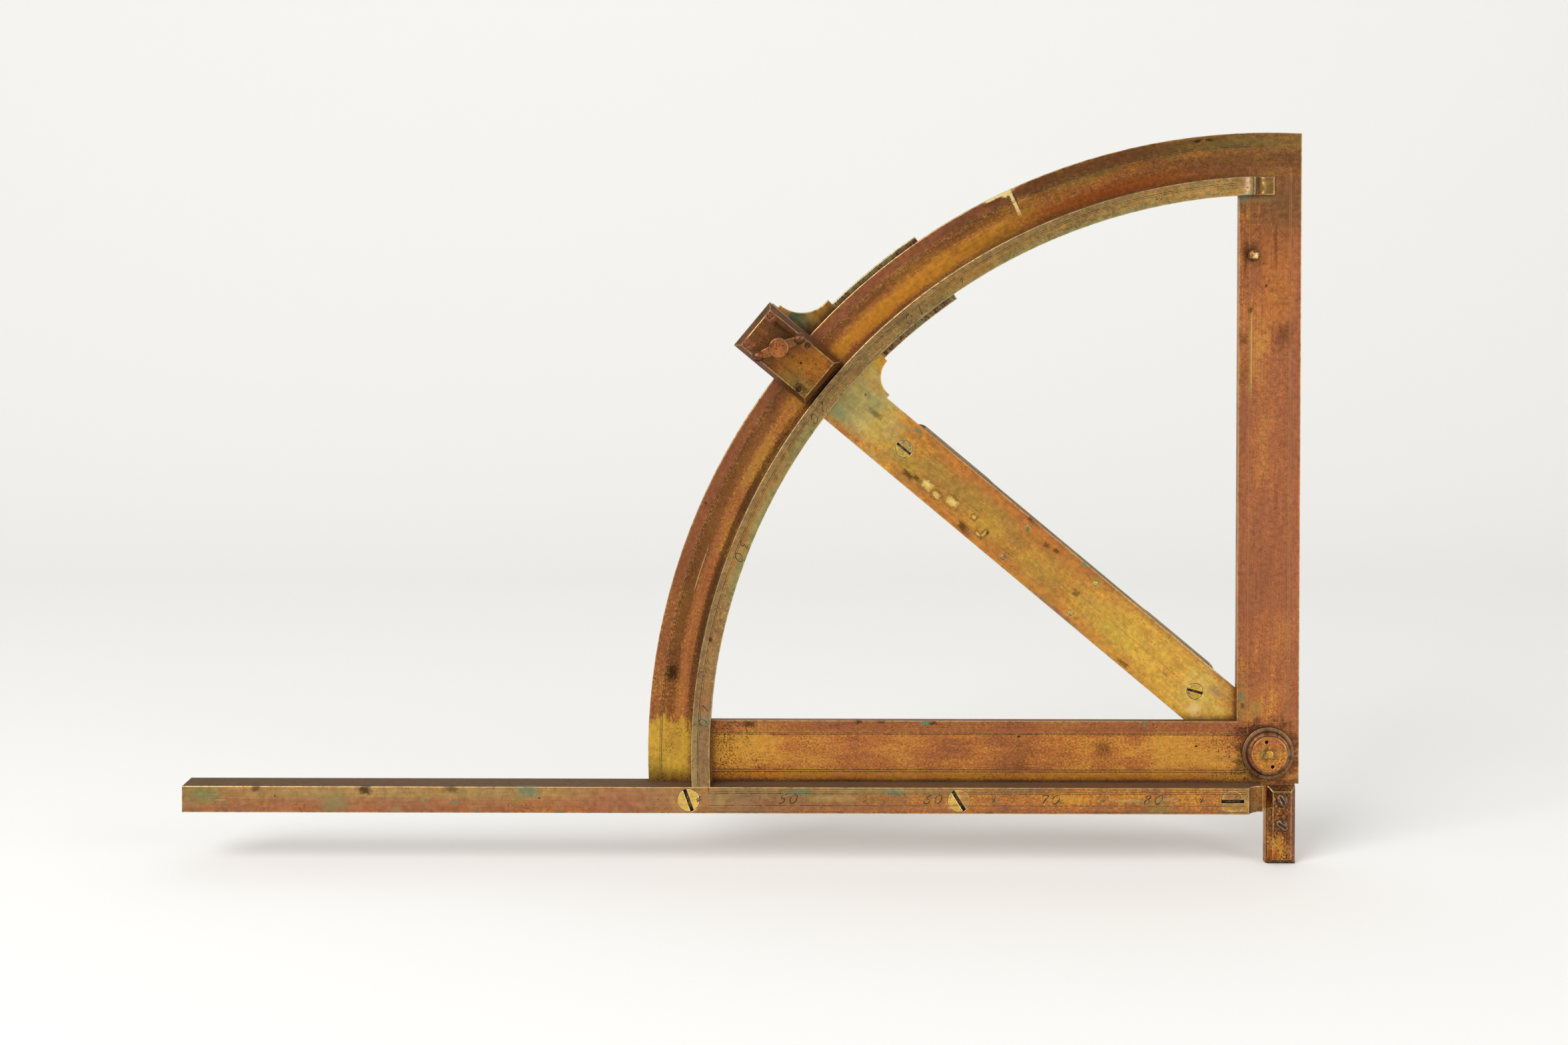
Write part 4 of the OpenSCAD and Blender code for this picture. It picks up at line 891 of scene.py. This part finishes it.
BAR_SCREW_ZONES = [
    (-165.9, -12.3, 3.2, 3.2, "level", 0.4, 0.3),
    (-87.3, -12.3, 1.7, 3.2, "rose", 0.6, 0.4),
    (-11.4, -12.3, 3.4, 3.4, "brown", 0.6, 0.3),
    (-11.4, -10.9, 3.2, 1.5, "rose", 0.4, 0.6),
    (-11.4, -15.2, 2.6, 0.4, "chip", 0.7, 0.5),
]

PEG_HIGHLIGHT = [
    # A bright cream spot on the peg's tip: a painted highlight
    (-4.9, 142.6, 0.6, 0.6, "fresh", 0.95, 0.5),
]

# Foot: up and across
FOOT_ZONES = [
    (-25.5, 1.6, 3.4, 2.4, "level", 0.16, 0.8),
    (-16, 1.6, 3, 2.4, "level", 0.1, 0.8),
    (-20, -4.2, 13, 1.6, "umber", 0.6, 0.5),
    (-20, 6.6, 12, 1.1, "brick", 0.5, 0.5),
    (-28.9, 1, 1.5, 1.3, "rust", 0.7, 0.8),
]

# Nut and pin at the corner: right and up
NUT_ZONES = [
    (-1.8, 0.2, 1, 1.8, "olive", 0.6, 0.6),
    (0, 0, 1.9, 1.9, "umber", 0.6, 0.4),
    (2.5, 2.5, 1.6, 1.6, "rose", 0.5, 0.8),
]

PIN_ZONES = [
    (-1.4, 0.4, 0.8, 1.2, "umber", 0.6, 0.7),
]

# Arm, clamp and thumbscrew: along and across the arm
ARM_ZONES = [
    (-42, 0, 20, 6, "level", 0.1, 0.7),
    (-100, 6.2, 42, 3, "orange", 0.85, 0.6),
    (-92, -6.8, 50, 2.2, "orange", 0.7, 0.6),
    (-60, 8, 50, 1, "brick", 0.5, 0.6),
    (-132.9, -1.8, 7, 3.6, "olive", 0.5, 0.8),
    (-119.8, 0.5, 9, 3, "olive", 0.5, 0.8),
    (-103.1, 2.5, 9, 2.4, "olive", 0.4, 0.8),
    (-83, -2.4, 9, 2.4, "olive", 0.35, 0.8),
    (-60.1, -2.7, 8, 2.2, "olive", 0.3, 0.8),
    (-104, -1, 34, 5, "olive", 0.3, 0.7),
    (-104, -1, 36, 5, "orange", 0.25, 0.7),
    (-72, -8.1, 8, 0.8, "violet", 0.6, 0.6),
    (-155, 1.4, 13, 9, "speckle", -0.3, 0.5),
    (-155, 1.4, 13, 9, "pale", 0.7, 0.4),
    (-158, -2, 4, 6, "sage", 0.5, 0.8),
    (-152, -1, 5, 5, "speckle", 0.5, 0.8),
    (-150, 4, 3, 3, "sage", 0.5, 0.9),
    (-181, 16, 5.5, 12, "umber", 0.95, 0.2),
    (-183.5, 10, 3, 3, "green", 0.4, 0.9),
    (-180.4, 15, 2.2, 3.4, "gold", 0.45, 1),
    (-146, 0.5, 2.4, 5, "yellow", 0.4, 0.8),
    (-24, 2, 6, 6, "pale", 0.35, 0.8),
    (-40, 0, 26, 8, "chip", 0.2, 0.8),
]

ARM_MARKS = [
    (-156.6, -3.8, 2, 1.2, "teal", 0.35, 1),
    (-148.3, 2.6, 2, 0.7, "umber", 0.6, 0.8),
    (-123.9, -3.7, 1.7, 1.2, "chip", 1, 0.4),
    (-120.2, -4.2, 1.2, 0.8, "chip", 1, 0.4),
    (-115.4, -2.9, 1.8, 1.1, "chip", 1, 0.4),
    (-107.7, -2.2, 0.6, 0.5, "chip", 0.9, 0.4),
    (-124.3, -3.5, 0.8, 0.4, "fresh", 0.8, 0.6),
    (-115, -2.7, 0.9, 0.4, "fresh", 0.8, 0.6),
    (-103.6, -5.2, 0.8, 0.35, "chip", 0.9, 0.5),
    (-102.4, -4, 0.35, 0.9, "chip", 0.8, 0.5),
    (-101.8, -3, 0.4, 0.5, "dark", 0.7, 0.6),
    (-130.3, -5, 1.6, 0.8, "dark", 0.7, 0.6),
    (-127.6, -4.2, 1.2, 0.6, "dark", 0.7, 0.6),
    (-108.4, -6.5, 1.5, 1, "umber", 0.85, 0.6),
    (-106.2, -7.1, 1.2, 0.8, "brick", 0.7, 0.6),
    (-71, -0.3, 0.9, 0.9, "umber", 0.7, 0.5),
    (-74.7, 7.8, 0.7, 0.7, "teal", 0.7, 0.5),
    (-86.4, 5, 0.9, 0.6, "umber", 0.75, 0.6),
    (-83.4, 5.5, 0.9, 0.6, "umber", 0.75, 0.6),
    (-94.7, 7.8, 1.2, 0.6, "umber", 0.7, 0.6),
    (-68.7, 6.3, 1.5, 1, "olive", 0.7, 0.7),
    (-47.8, -7.1, 1.6, 0.6, "dark", 0.6, 0.6),
    (-21.5, 4, 2, 0.9, "violet", 0.5, 0.8),
    (-23.4, -4.1, 1.4, 1.4, "fresh", 0.6, 0.7),
    (-136, 6.4, 1, 0.5, "green", 0.7, 0.6),
]

CLAMP_ZONES = [
    (-172.5, -2, 6.5, 7, "level", 0.26, 0.6),
    (-188, 5, 6, 3, "umber", 0.45, 0.7),
    (-180, 0, 18, 12, "umber", 0.6, 0.4),
    (-173, 2, 5, 4, "amber", 0.45, 0.8),
    (-171.5, -4.5, 4, 2.5, "olive", 0.45, 0.8),
]

CLAMP_MARKS = [
    (-185.3, 4.5, 3, 0.5, "dark", 0.6, 0.7),
    (-190.2, 5.15, 1.5, 1.5, "brick", 0.85, 0.3),
    (-190.2, -5.15, 1.5, 1.5, "brick", 0.85, 0.3),
    (-176.8, 5.5, 1.5, 1.5, "brown", 0.85, 0.3),
    (-170.8, -5.5, 1.7, 1.6, "umber", 0.8, 0.4),
]

CLAMP_PIN_ZONES = [
    (-170.8, -5.5, 1.2, 1, "dark", 0.7, 0.6),
]

THUMBSCREW_ZONES = [
    (-182.7, 0, 3.4, 3.4, "level", 0.3, 0.3),
    (-182.4, -1.4, 3, 2, "orange", 0.6, 0.7),
    (-182.7, 8.5, 6, 4, "fleck", 0.5, 0.5),
    (-182.7, -8.5, 6, 4, "fleck", 0.5, 0.5),
    (-182.7, 9, 6, 3, "violet", 0.4, 0.5),
    (-182.7, -9, 6, 3, "violet", 0.4, 0.5),
]


class QUADRANT_OT_frame(bpy.types.Operator):
    """Gives the frame plate and the plumb scale's rib their aged brass"""

    bl_idname = "quadrant.frame"
    bl_label = "Frame and rib"

    def execute(self, context):
        zones, marks = LOWER_ZONES + UPRIGHT_ZONES + ARC_ZONES, LOWER_MARKS + UPRIGHT_MARKS + ARC_MARKS
        finish = {"Speckle": 0.55, "Pits": 0.25}
        plate = brass("aged_lacquered_brass_plate", "frame", "brown orange gold", finish, 0.5, zones, marks, 0.0, 0.55)
        finish = {"Speckle": 0.35, "Verdigris": 0.2}
        tones = "drab khaki orange"
        rib = brass("aged_lacquered_brass_rib", "round", tones, finish, 0.46, RIB_ZONES, RIB_MARKS, BAR_FACE, 0.6)
        dress(plate, "frame_plate")
        dress(rib, "plumb_scale_rib")
        return {"FINISHED"}


class QUADRANT_OT_bar(bpy.types.Operator):
    """Gives the long bar, its screws and the plumb peg their metal"""

    bl_idname = "quadrant.bar"
    bl_label = "Bar, screws and peg"

    def execute(self, context):
        finish = {"Speckle": 0.4, "Pits": 0.15, "Verdigris": 0.22, "Dirt and shade": 0.9}
        tones = "drab orange gold"
        bar = brass("aged_lacquered_brass_bar", "straight", tones, finish, 0.5, BAR_ZONES, BAR_MARKS, BAR_FACE, 0.9)
        finish = {"Speckle": 0.2, "Pits": 0.1, "Verdigris": 0.0, "Dirt and shade": 1.8}
        screws = brass("turned_brass_screws", "straight", "orange gold chip", finish, 0.6, BAR_SCREW_ZONES)
        finish = {"Speckle": 0.5, "Dirt and shade": 1.0, "Edge wear": 0.3}
        peg = brass("turned_brass_peg", "straight", "umber brown violet", finish, zones=PEG_HIGHLIGHT)
        dress(bar, "long_bar")
        dress(screws, "bar_screws")
        dress(peg, "plumb_peg")
        return {"FINISHED"}


class QUADRANT_OT_foot(bpy.types.Operator):
    """Gives the foot strip and its two dark screws their metal"""

    bl_idname = "quadrant.foot"
    bl_label = "Foot"

    def execute(self, context):
        finish = {"Speckle": 0.6, "Verdigris": 0.12}
        strip = brass("aged_lacquered_brass_foot", "upright", "umber brown gold", finish, zones=FOOT_ZONES)
        finish = {"Speckle": 0.7, "Dirt and shade": 1.0, "Edge wear": 0.5}
        screws = brass("browned_brass_screws", "straight", "umber violet brown", finish)
        dress(strip, "foot_strip")
        dress(screws, "foot_screws")
        return {"FINISHED"}


class QUADRANT_OT_arm(bpy.types.Operator):
    """Gives the index arm, the vernier, their screws and rivets their metal"""

    bl_idname = "quadrant.arm"
    bl_label = "Index arm and vernier"

    def execute(self, context):
        finish = {"Speckle": 0.1, "Pits": 0.12, "Verdigris": 0.1}
        tones = "orange gold yellow"
        arm = brass("worn_lacquered_brass_arm", "arm", tones, finish, 0.5, ARM_ZONES, ARM_MARKS, ARM_FACE)
        finish = {"Verdigris": 0.5, "Speckle": 0.3, "Edge wear": 0.9}
        vernier = brass("aged_lacquered_brass_vernier", "arm", "umber drab sage", finish)
        finish = {"Speckle": 0.2, "Pits": 0.1, "Verdigris": 0.05, "Dirt and shade": 1.2}
        small = brass("turned_brass_small_screws", "arm", "drab khaki yellow", finish)
        dress(arm, "index_arm")
        dress(vernier, "vernier_plate")
        dress(small, "level_screws", "vernier_screws", "saddle_rivets")
        return {"FINISHED"}


class QUADRANT_OT_pivot(bpy.types.Operator):
    """Gives the collar, nut and pin at the corner their metal"""

    bl_idname = "quadrant.pivot"
    bl_label = "Pivot"

    def execute(self, context):
        finish = {"Speckle": 0.45, "Dirt and shade": 1.2, "Edge wear": 0.3}
        collar = brass("turned_brass_collar", "round", "umber brown violet", finish)
        finish = {"Speckle": 0.6, "Pits": 0.5, "Dirt and shade": 1.2, "Edge wear": 0.4}
        nut = brass("turned_brass_nut", "straight", "brown orange gold", finish, zones=NUT_ZONES)
        pin = brass("turned_brass_pin", "straight", "olive gold gold", {"Speckle": 0.2}, zones=PIN_ZONES)
        dress(collar, "pivot_collar")
        dress(nut, "pivot_nut")
        dress(pin, "pivot_pin")
        return {"FINISHED"}


class QUADRANT_OT_level(bpy.types.Operator):
    """Gives the spirit level its brass, glass, spirit and plaster"""

    bl_idname = "quadrant.level"
    bl_label = "Spirit level"

    def execute(self, context):
        shades = context.scene.quadrant_colours
        finish = {"Verdigris": 0.3, "Speckle": 0.45}
        tube = brass("aged_lacquered_brass_tube", "arm", "brown olive gold", finish, top_shade_strength=0.8)
        dress(tube, "level_tube", "level_end_caps", "level_feet", "level_saddle")
        dress(clear("blown_glass_vial", shades.glass, 1.5, 0.02), "level_vial")
        dress(clear("tinted_spirit", shades.spirit, 1.36, 0.0), "level_spirit")
        dress(plaster(), "vial_packing")
        return {"FINISHED"}


class QUADRANT_OT_clamp(bpy.types.Operator):
    """Gives the clamp box, its inside and the thumbscrew their metal"""

    bl_idname = "quadrant.clamp"
    bl_label = "Clamp and thumbscrew"

    def execute(self, context):
        finish = {"Speckle": 0.5, "Pits": 0.3}
        tones = "brick brown orange"
        box = brass("aged_lacquered_brass_clamp", "arm", tones, finish, 0.5, CLAMP_ZONES, CLAMP_MARKS, CLAMP_FACE, 0.5)
        finish = {"Speckle": 0.4, "Edge wear": 0.0}
        pins = brass("browned_brass_pins", "arm", "umber brick brown", finish, zones=CLAMP_PIN_ZONES)
        shoe = brass("worn_brass_shoe", "arm", "olive gold gold", {"Speckle": 0.3})
        finish = {"Speckle": 0.6, "Edge wear": 0.3}
        screw = brass("browned_brass_thumbscrew", "arm", "umber brown brown", finish, 0.42, THUMBSCREW_ZONES)
        dress(box, "clamp_box", "clamp_base", "clamp_block")
        dress(pins, "clamp_pins")
        dress(shoe, "clamp_shoe", "shoe_pin")
        dress(screw, "thumbscrew")
        return {"FINISHED"}


class QUADRANT_OT_plumb_scale(bpy.types.Operator):
    """Engraves the plumb scale on the rib and the bar: divisions, lines, numerals and marks at the fives"""

    bl_idname = "quadrant.plumb_scale"
    bl_label = "Plumb scale"

    def execute(self, context):
        sizes = context.scene.quadrant_sizes
        dark = material_named("engravers_wax", wax)
        bright = material_named("graver_burr_brass", burr)
        thin = sizes.hairline * 0.6
        # The double line along the rib, from the bar's top to the moulded end
        strip_radius = RIB_OUTER - sizes.strip
        foot, head = math.asin((BAR_TOP + LINE_GAP) / strip_radius), math.acos(11.0 * MM / strip_radius)
        lines = Engraving(BAR_FRONT, sizes.proud)
        lines.arc(strip_radius, foot, head, sizes.hairline, 90)
        lines.arc(strip_radius - 0.45 * MM, foot, head, thin, 90)
        # The lines along the bar, by their depth under its top, and the short one that ends them
        left, right = -(ARC_INNER + 0.3 * MM), BAR_END - 5.4 * MM
        for depth, width in ((0.5, 0.5), (1.2, 0.8), (sizes.strip / MM, 1.0), (5.1, 0.8), (6.9, 0.5)):
            level = BAR_TOP - depth * MM
            lines.line((left, level), (right, level), sizes.hairline * width)
        lines.line((left, BAR_TOP - 0.1 * MM), (left, BAR_TOP - sizes.strip), sizes.hairline * 1.3)
        figures = Engraving(BAR_FRONT, sizes.proud)
        lips = Engraving(BAR_FRONT, sizes.proud * 0.6)
        numeral_radius, numeral_level = ARC_INNER + 2.0 * MM, BAR_TOP - 3.3 * MM
        slot_edge = BAR_TOP - 3.1 * MM
        lip_shift = (0.11 * MM, -0.11 * MM)
        peg = PEG - PIVOT
        start = Vector((peg.x, peg.z))
        for number in range(5, 95, 5):
            on_rib, ten, last = number < FIRST_ON_BAR, number % 10 == 0, number == 90
            # The engraver set each number a little short of its division
            aim = math.radians(number - (0.05 if on_rib else 0.6))
            if on_rib:
                away = Vector((-math.cos(aim), -math.sin(aim)))
                b = start.dot(away)
                centre = start + away * (-b + math.sqrt(b * b - start.length_squared + numeral_radius**2))
                up = -centre
            else:
                centre = Vector((peg.x - (peg.z - numeral_level) / math.tan(aim), numeral_level))
                up = Vector((0.0, 1.0))
            reading = Vector((up.y, -up.x)).normalized()
            rows = [(FIGURES[c], i - 0.5) for i, c in enumerate(str(number))] if ten else [(FLEUR, 0.0)]
            if last:
                # Only the loop of one figure is left, over the screw's slot
                centre.x, rows = -10.2 * MM, [(FIGURES["0"], 0.0)]
            above = slot_edge if last else None
            height, slant = (sizes.numeral, 0.3) if ten else (sizes.numeral * 0.72, 0.0)
            # Those on the rib are cut finer and set wider
            stroke = sizes.stroke * (0.7 if on_rib else 0.5 if last else 0.9)
            for figure, step in rows:
                spot = centre + reading * sizes.spread * step * (1.3 if on_rib else 1.0)
                lips.figure(figure, spot, up, height, stroke * 0.7, slant, lip_shift, above=above)
                figures.figure(figure, spot, up, height, stroke, slant, above=above)
        lines.finish("plumb_scale_lines", dark, "frame")
        lips.finish("plumb_scale_burrs", bright, "frame")
        figures.finish("plumb_scale_numerals", dark, "frame")
        tree = tree_named("Scale divisions", divisions_tree)
        shared = {"Step": math.radians(1.0), "Aim": PEG, "Centre": PIVOT, "Face": BAR_FRONT, "Width": thin}
        shared.update({"Depth": 2 * sizes.proud, "Material": dark})
        # On the rib every division crosses the strip. On the bar they stand up from its lower line
        rib = dict.fromkeys(("Short", "Middle", "Long"), sizes.strip)
        rib.update({"Count": 43, "Radius": RIB_OUTER})
        bar = {"Count": 44, "First": math.radians(FIRST_ON_BAR), "Number": FIRST_ON_BAR, "Straight": True}
        bar.update({"Level": PIVOT.z + BAR_TOP - sizes.strip, "Side": -1.0})
        bar.update({"Short": sizes.strip * 0.32, "Middle": sizes.strip * 0.5, "Long": sizes.strip * 0.8})
        grow("plumb_divisions_on_rib", tree, {**shared, **rib}, "frame")
        grow("plumb_divisions_on_bar", tree, {**shared, **bar}, "frame")
        return {"FINISHED"}


class QUADRANT_OT_limb_lines(bpy.types.Operator):
    """Scribes the double border lines on the frame's front, and the arm's centre line"""

    bl_idname = "quadrant.limb_lines"
    bl_label = "Scribed lines"

    def execute(self, context):
        sizes = context.scene.quadrant_sizes
        bright = material_named("graver_burr_brass", burr)
        fine, bold = sizes.hairline * 0.8, sizes.hairline * 1.1
        lines = Engraving(PLATE_FRONT, sizes.proud)
        # Arc: two radii, from the bar's top to the upright limb
        for radius, width in ((174.4 * MM, fine), (173.95 * MM, bold)):
            first = math.asin((BAR_TOP + LINE_GAP) / radius)
            lines.arc(radius, first, math.acos(6.0 * MM / radius), width, 96)
        # Lower limb: four levels, from the rib to the knob at the corner
        knob, inset = 7.6 * MM, 5.8 * MM
        left = -ARC_INNER + 0.4 * MM
        for level, width in ((5.4, fine), (5.0, bold), (-5.1, bold), (-5.75, bold)):
            z = level * MM
            end = -math.sqrt(max(knob**2 - z**2, inset**2))
            start = -math.sqrt(RIB_OUTER**2 - z**2) + RIB_WIDTH
            lines.line((max(left, start), z), (end, z), width)
        lips = Engraving(PLATE_FRONT, sizes.proud * 0.6)
        lips.line((left, -5.42 * MM), (-7.0 * MM, -5.42 * MM), bold)
        # Upright limb: three worn lines over the knob, and two under it
        faint = Engraving(PLATE_FRONT, sizes.proud)
        top = math.sqrt((174.2 * MM) ** 2 - inset**2) - 6.0 * MM
        for x, low in ((-5.9, 5.4), (5.55, 5.3), (6.0, 5.3)):
            faint.line((x * MM, low * MM), (x * MM, top), fine)
        for x in (5.55, 6.0):
            faint.line((x * MM, BAR_TOP + LINE_GAP), (x * MM, -5.3 * MM), fine)
        faint.finish("upright_limb_lines", burr("worn_line_brass", "rose", "khaki"), "frame")
        lines.finish("limb_lines", material_named("engravers_wax", wax), "frame")
        lips.finish("limb_line_burrs", bright, "frame")
        arm = Engraving(ARM_FRONT, sizes.proud, turn=ARM_ANGLE)
        arm.line((-31.0 * MM, 0.1 * MM), (-96.0 * MM, 0.1 * MM), fine)
        arm.finish("arm_centre_line", bright, "arm")
        return {"FINISHED"}


class QUADRANT_OT_arc_scale(bpy.types.Operator):
    """Engraves the degree scale on the arc's back, and the vernier's divisions beside it"""

    bl_idname = "quadrant.arc_scale"
    bl_label = "Arc scale and vernier"

    def execute(self, context):
        sizes = context.scene.quadrant_sizes
        dark = material_named("engravers_wax", wax)
        inner, outer = 164.5 * MM, 168.5 * MM
        lines = Engraving(PLATE_BACK, sizes.proud, facing=1.0)
        for radius in (inner, inner + 1.6 * MM, outer + 3.4 * MM):
            lines.arc(radius, math.radians(-0.5), math.radians(90.5), sizes.hairline, 120)
        for number in range(0, 91, 10):
            turn = math.radians(number)
            centre = Vector((-math.cos(turn), math.sin(turn))) * (outer + 1.4 * MM)
            # Seen from behind, the figures read the other way round
            reading = Vector((-centre.y, centre.x)).normalized() * -1.0
            text = str(number)
            for i, c in enumerate(text):
                spot = centre + reading * sizes.spread * 0.8 * (i - (len(text) - 1) / 2)
                lines.figure(FIGURES[c], spot, -centre, sizes.numeral * 0.85, sizes.stroke * 0.9, 0.2, mirror=-1.0)
        lines.finish("arc_scale_lines", dark, "frame")
        tree = tree_named("Scale divisions", divisions_tree)
        shared = {"Aim": PIVOT, "Centre": PIVOT, "Width": sizes.hairline * 0.8, "Depth": 2 * sizes.proud}
        shared["Material"] = dark
        degrees = {"Count": 181, "First": math.radians(-90.0), "Step": math.radians(0.5), "Radius": inner}
        degrees.update({"Face": PLATE_BACK, "Side": -1.0, "Short": 1.6 * MM, "Middle": 2.2 * MM, "Long": 3.2 * MM})
        grow("arc_degrees", tree, {**shared, **degrees}, "frame")
        # Thirty parts of the vernier take the room of twenty-nine half degrees, on the bevelled reading edge
        vernier = {"Count": 13, "First": -ARM_ANGLE - math.radians(14.4), "Step": math.radians(0.58)}
        vernier.update({"Radius": 162.2 * MM, "Face": LAP_BACK, "Side": 1.0})
        vernier.update({"Short": 0.7 * MM, "Middle": 1.2 * MM, "Long": 1.5 * MM})
        grow("vernier_divisions", tree, {**shared, **vernier}, "arm")
        return {"FINISHED"}


class QUADRANT_OT_joint_rings(bpy.types.Operator):
    """Draws the dark joint line round each flush screw, pin and rivet"""

    bl_idname = "quadrant.joint_rings"
    bl_label = "Joint lines"

    def execute(self, context):
        sizes = context.scene.quadrant_sizes
        tree = tree_named("Joint rings", rings_tree)
        shared = {"Width": sizes.seam, "Depth": 2 * sizes.proud, "Material": material_named("engravers_wax", wax)}
        # Distances from the pivot and radii, in millimetres
        bar = [(PIVOT.x - d * MM, BAR_FRONT, middle("bar_screws").z) for d in (165.9, 89.2, 11.4)]
        grow("bar_screw_joints", tree, {**shared, "Radius": 3.24 * MM}, "frame", bar)
        for name, distance, radius in (("inner", 26.6, 2.34), ("outer", 135.8, 2.49)):
            spot = along_arm(distance * MM, 0.0, ARM_FRONT)
            grow(f"level_screw_joint_{name}", tree, {**shared, "Radius": radius * MM}, "arm", [spot])
        rivets = [along_arm(d * MM, s * 5.6 * MM, ARM_FRONT) for d in (68.6, 93.8) for s in (-1, 1)]
        grow("rivet_joints", tree, {**shared, "Radius": 0.79 * MM}, "arm", rivets)
        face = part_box("clamp_box")[0].y
        pins = [(190.2, 5.15), (190.2, -5.15), (176.8, 5.5), (170.8, -5.5)]
        spots = [along_arm(d * MM, s * MM, face) for d, s in pins]
        grow("clamp_pin_joints", tree, {**shared, "Radius": 0.9 * MM, "Width": sizes.seam * 0.8}, "arm", spots)
        return {"FINISHED"}


class QUADRANT_OT_stage(bpy.types.Operator):
    """Sets up the pale floor, the soft lamps, the even light and the camera"""

    bl_idname = "quadrant.stage"
    bl_label = "Stage"

    def execute(self, context):
        scene = context.scene
        stage = scene.quadrant_stage
        shades = scene.quadrant_colours
        # Floor that sweeps up into a backdrop
        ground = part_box("foot_strip")[0].z
        flat_to, bend, half_width = 0.55, 0.6, 3.0
        turns = [math.radians(6 * i) for i in range(1, 16)]
        profile = [(-2.6, ground), (flat_to, ground)]
        profile += [(flat_to + bend * math.sin(a), ground + bend * (1 - math.cos(a))) for a in turns]
        profile += [(flat_to + bend, 3.2)]
        mesh = bpy.data.meshes.new("floor_sweep")
        points = [(x, y, z) for y, z in profile for x in (-half_width, half_width)]
        faces = [(2 * i, 2 * i + 1, 2 * i + 3, 2 * i + 2) for i in range(len(profile) - 1)]
        mesh.from_pydata(points, [], faces)
        for face in mesh.polygons:
            face.use_smooth = True
        # Matt paper: rough, and hardly glossy
        paper, tree = blank("matt_paper_backdrop")
        values = {"Base Color": shades.floor, "Roughness": 0.95, "Specular IOR Level": 0.1}
        add(tree, "OutputMaterial", [add(tree, "BsdfPrincipled", values)])
        mesh.materials.append(paper)
        floor = placed("floor_sweep", mesh)
        # Even light, a little warm
        world = bpy.data.worlds.new("even_light")
        scene.world = world
        world.use_nodes = True
        world.node_tree.nodes.clear()
        sky = add(world.node_tree, "Background", {"Color": (1.0, 0.99, 0.97, 1.0), "Strength": stage.sky})
        add(world.node_tree, "OutputWorld", [sky])
        # Lamps: a large one above on the left, a smaller one on the right
        target = Vector((0.04, 0.0, 0.07))
        for name, power, spot, size in (
            ("key_lamp", stage.key, (-0.75, -1.05, 0.95), 0.9),
            ("fill_lamp", stage.fill, (1.15, -0.9, 0.35), 0.8),
        ):
            lamp = bpy.data.lights.new(name, "AREA")
            lamp.energy, lamp.size = power, size
            holder = placed(name, lamp)
            holder.location = spot
            holder.rotation_mode = "QUATERNION"
            holder.rotation_quaternion = (target - Vector(spot)).to_track_quat("-Z", "Y")
        # Camera: at the height of the arc, a little right of the middle, 65 cm away
        camera = bpy.data.cameras.new("camera")
        camera.sensor_width, camera.lens, camera.shift_y = 36.0, 52.451, -0.16
        camera.clip_start, camera.clip_end = 0.05, 20.0
        holder = placed("camera", camera)
        holder.location = (16.75 * MM, -650.0 * MM, 162.71 * MM)
        # Pitched and rolled by a little, as the photo is
        holder.rotation_euler = (math.radians(90.0 - 0.787), math.radians(-0.134), 0.0)
        scene.camera = holder
        scene.view_settings.view_transform = "Standard"
        return {"FINISHED"}


STEPS = (
    QUADRANT_OT_frame,
    QUADRANT_OT_bar,
    QUADRANT_OT_foot,
    QUADRANT_OT_arm,
    QUADRANT_OT_pivot,
    QUADRANT_OT_level,
    QUADRANT_OT_clamp,
    QUADRANT_OT_plumb_scale,
    QUADRANT_OT_limb_lines,
    QUADRANT_OT_arc_scale,
    QUADRANT_OT_joint_rings,
    QUADRANT_OT_stage,
)


class QUADRANT_PT_sidebar(bpy.types.Panel):
    """Lists the quadrant's pieces"""

    bl_idname = "QUADRANT_PT_sidebar"
    bl_label = "Gunner's quadrant"
    bl_space_type = "VIEW_3D"
    bl_region_type = "UI"
    bl_category = "Quadrant"

    def draw(self, context):
        for step in STEPS:
            self.layout.operator(step.bl_idname)
        for owner, names in (
            (context.scene.quadrant_sizes, QuadrantSizes.__annotations__),
            (context.scene.quadrant_colours, QuadrantColours.__annotations__),
            (context.scene.quadrant_stage, QuadrantStage.__annotations__),
        ):
            for name in names:
                self.layout.prop(owner, name)


GROUPS = (
    ("quadrant_sizes", QuadrantSizes),
    ("quadrant_colours", QuadrantColours),
    ("quadrant_stage", QuadrantStage),
)


def register():
    for name, group in GROUPS:
        bpy.utils.register_class(group)
        setattr(bpy.types.Scene, name, bpy.props.PointerProperty(type=group))
    for step in (*STEPS, QUADRANT_PT_sidebar):
        bpy.utils.register_class(step)


def unregister():
    for step in (QUADRANT_PT_sidebar, *reversed(STEPS)):
        bpy.utils.unregister_class(step)
    for name, group in reversed(GROUPS):
        delattr(bpy.types.Scene, name)
        bpy.utils.unregister_class(group)


def main():
    register()
    for step in STEPS:
        family, name = step.bl_idname.split(".")
        getattr(getattr(bpy.ops, family), name)()


if __name__ == "__main__":
    main()
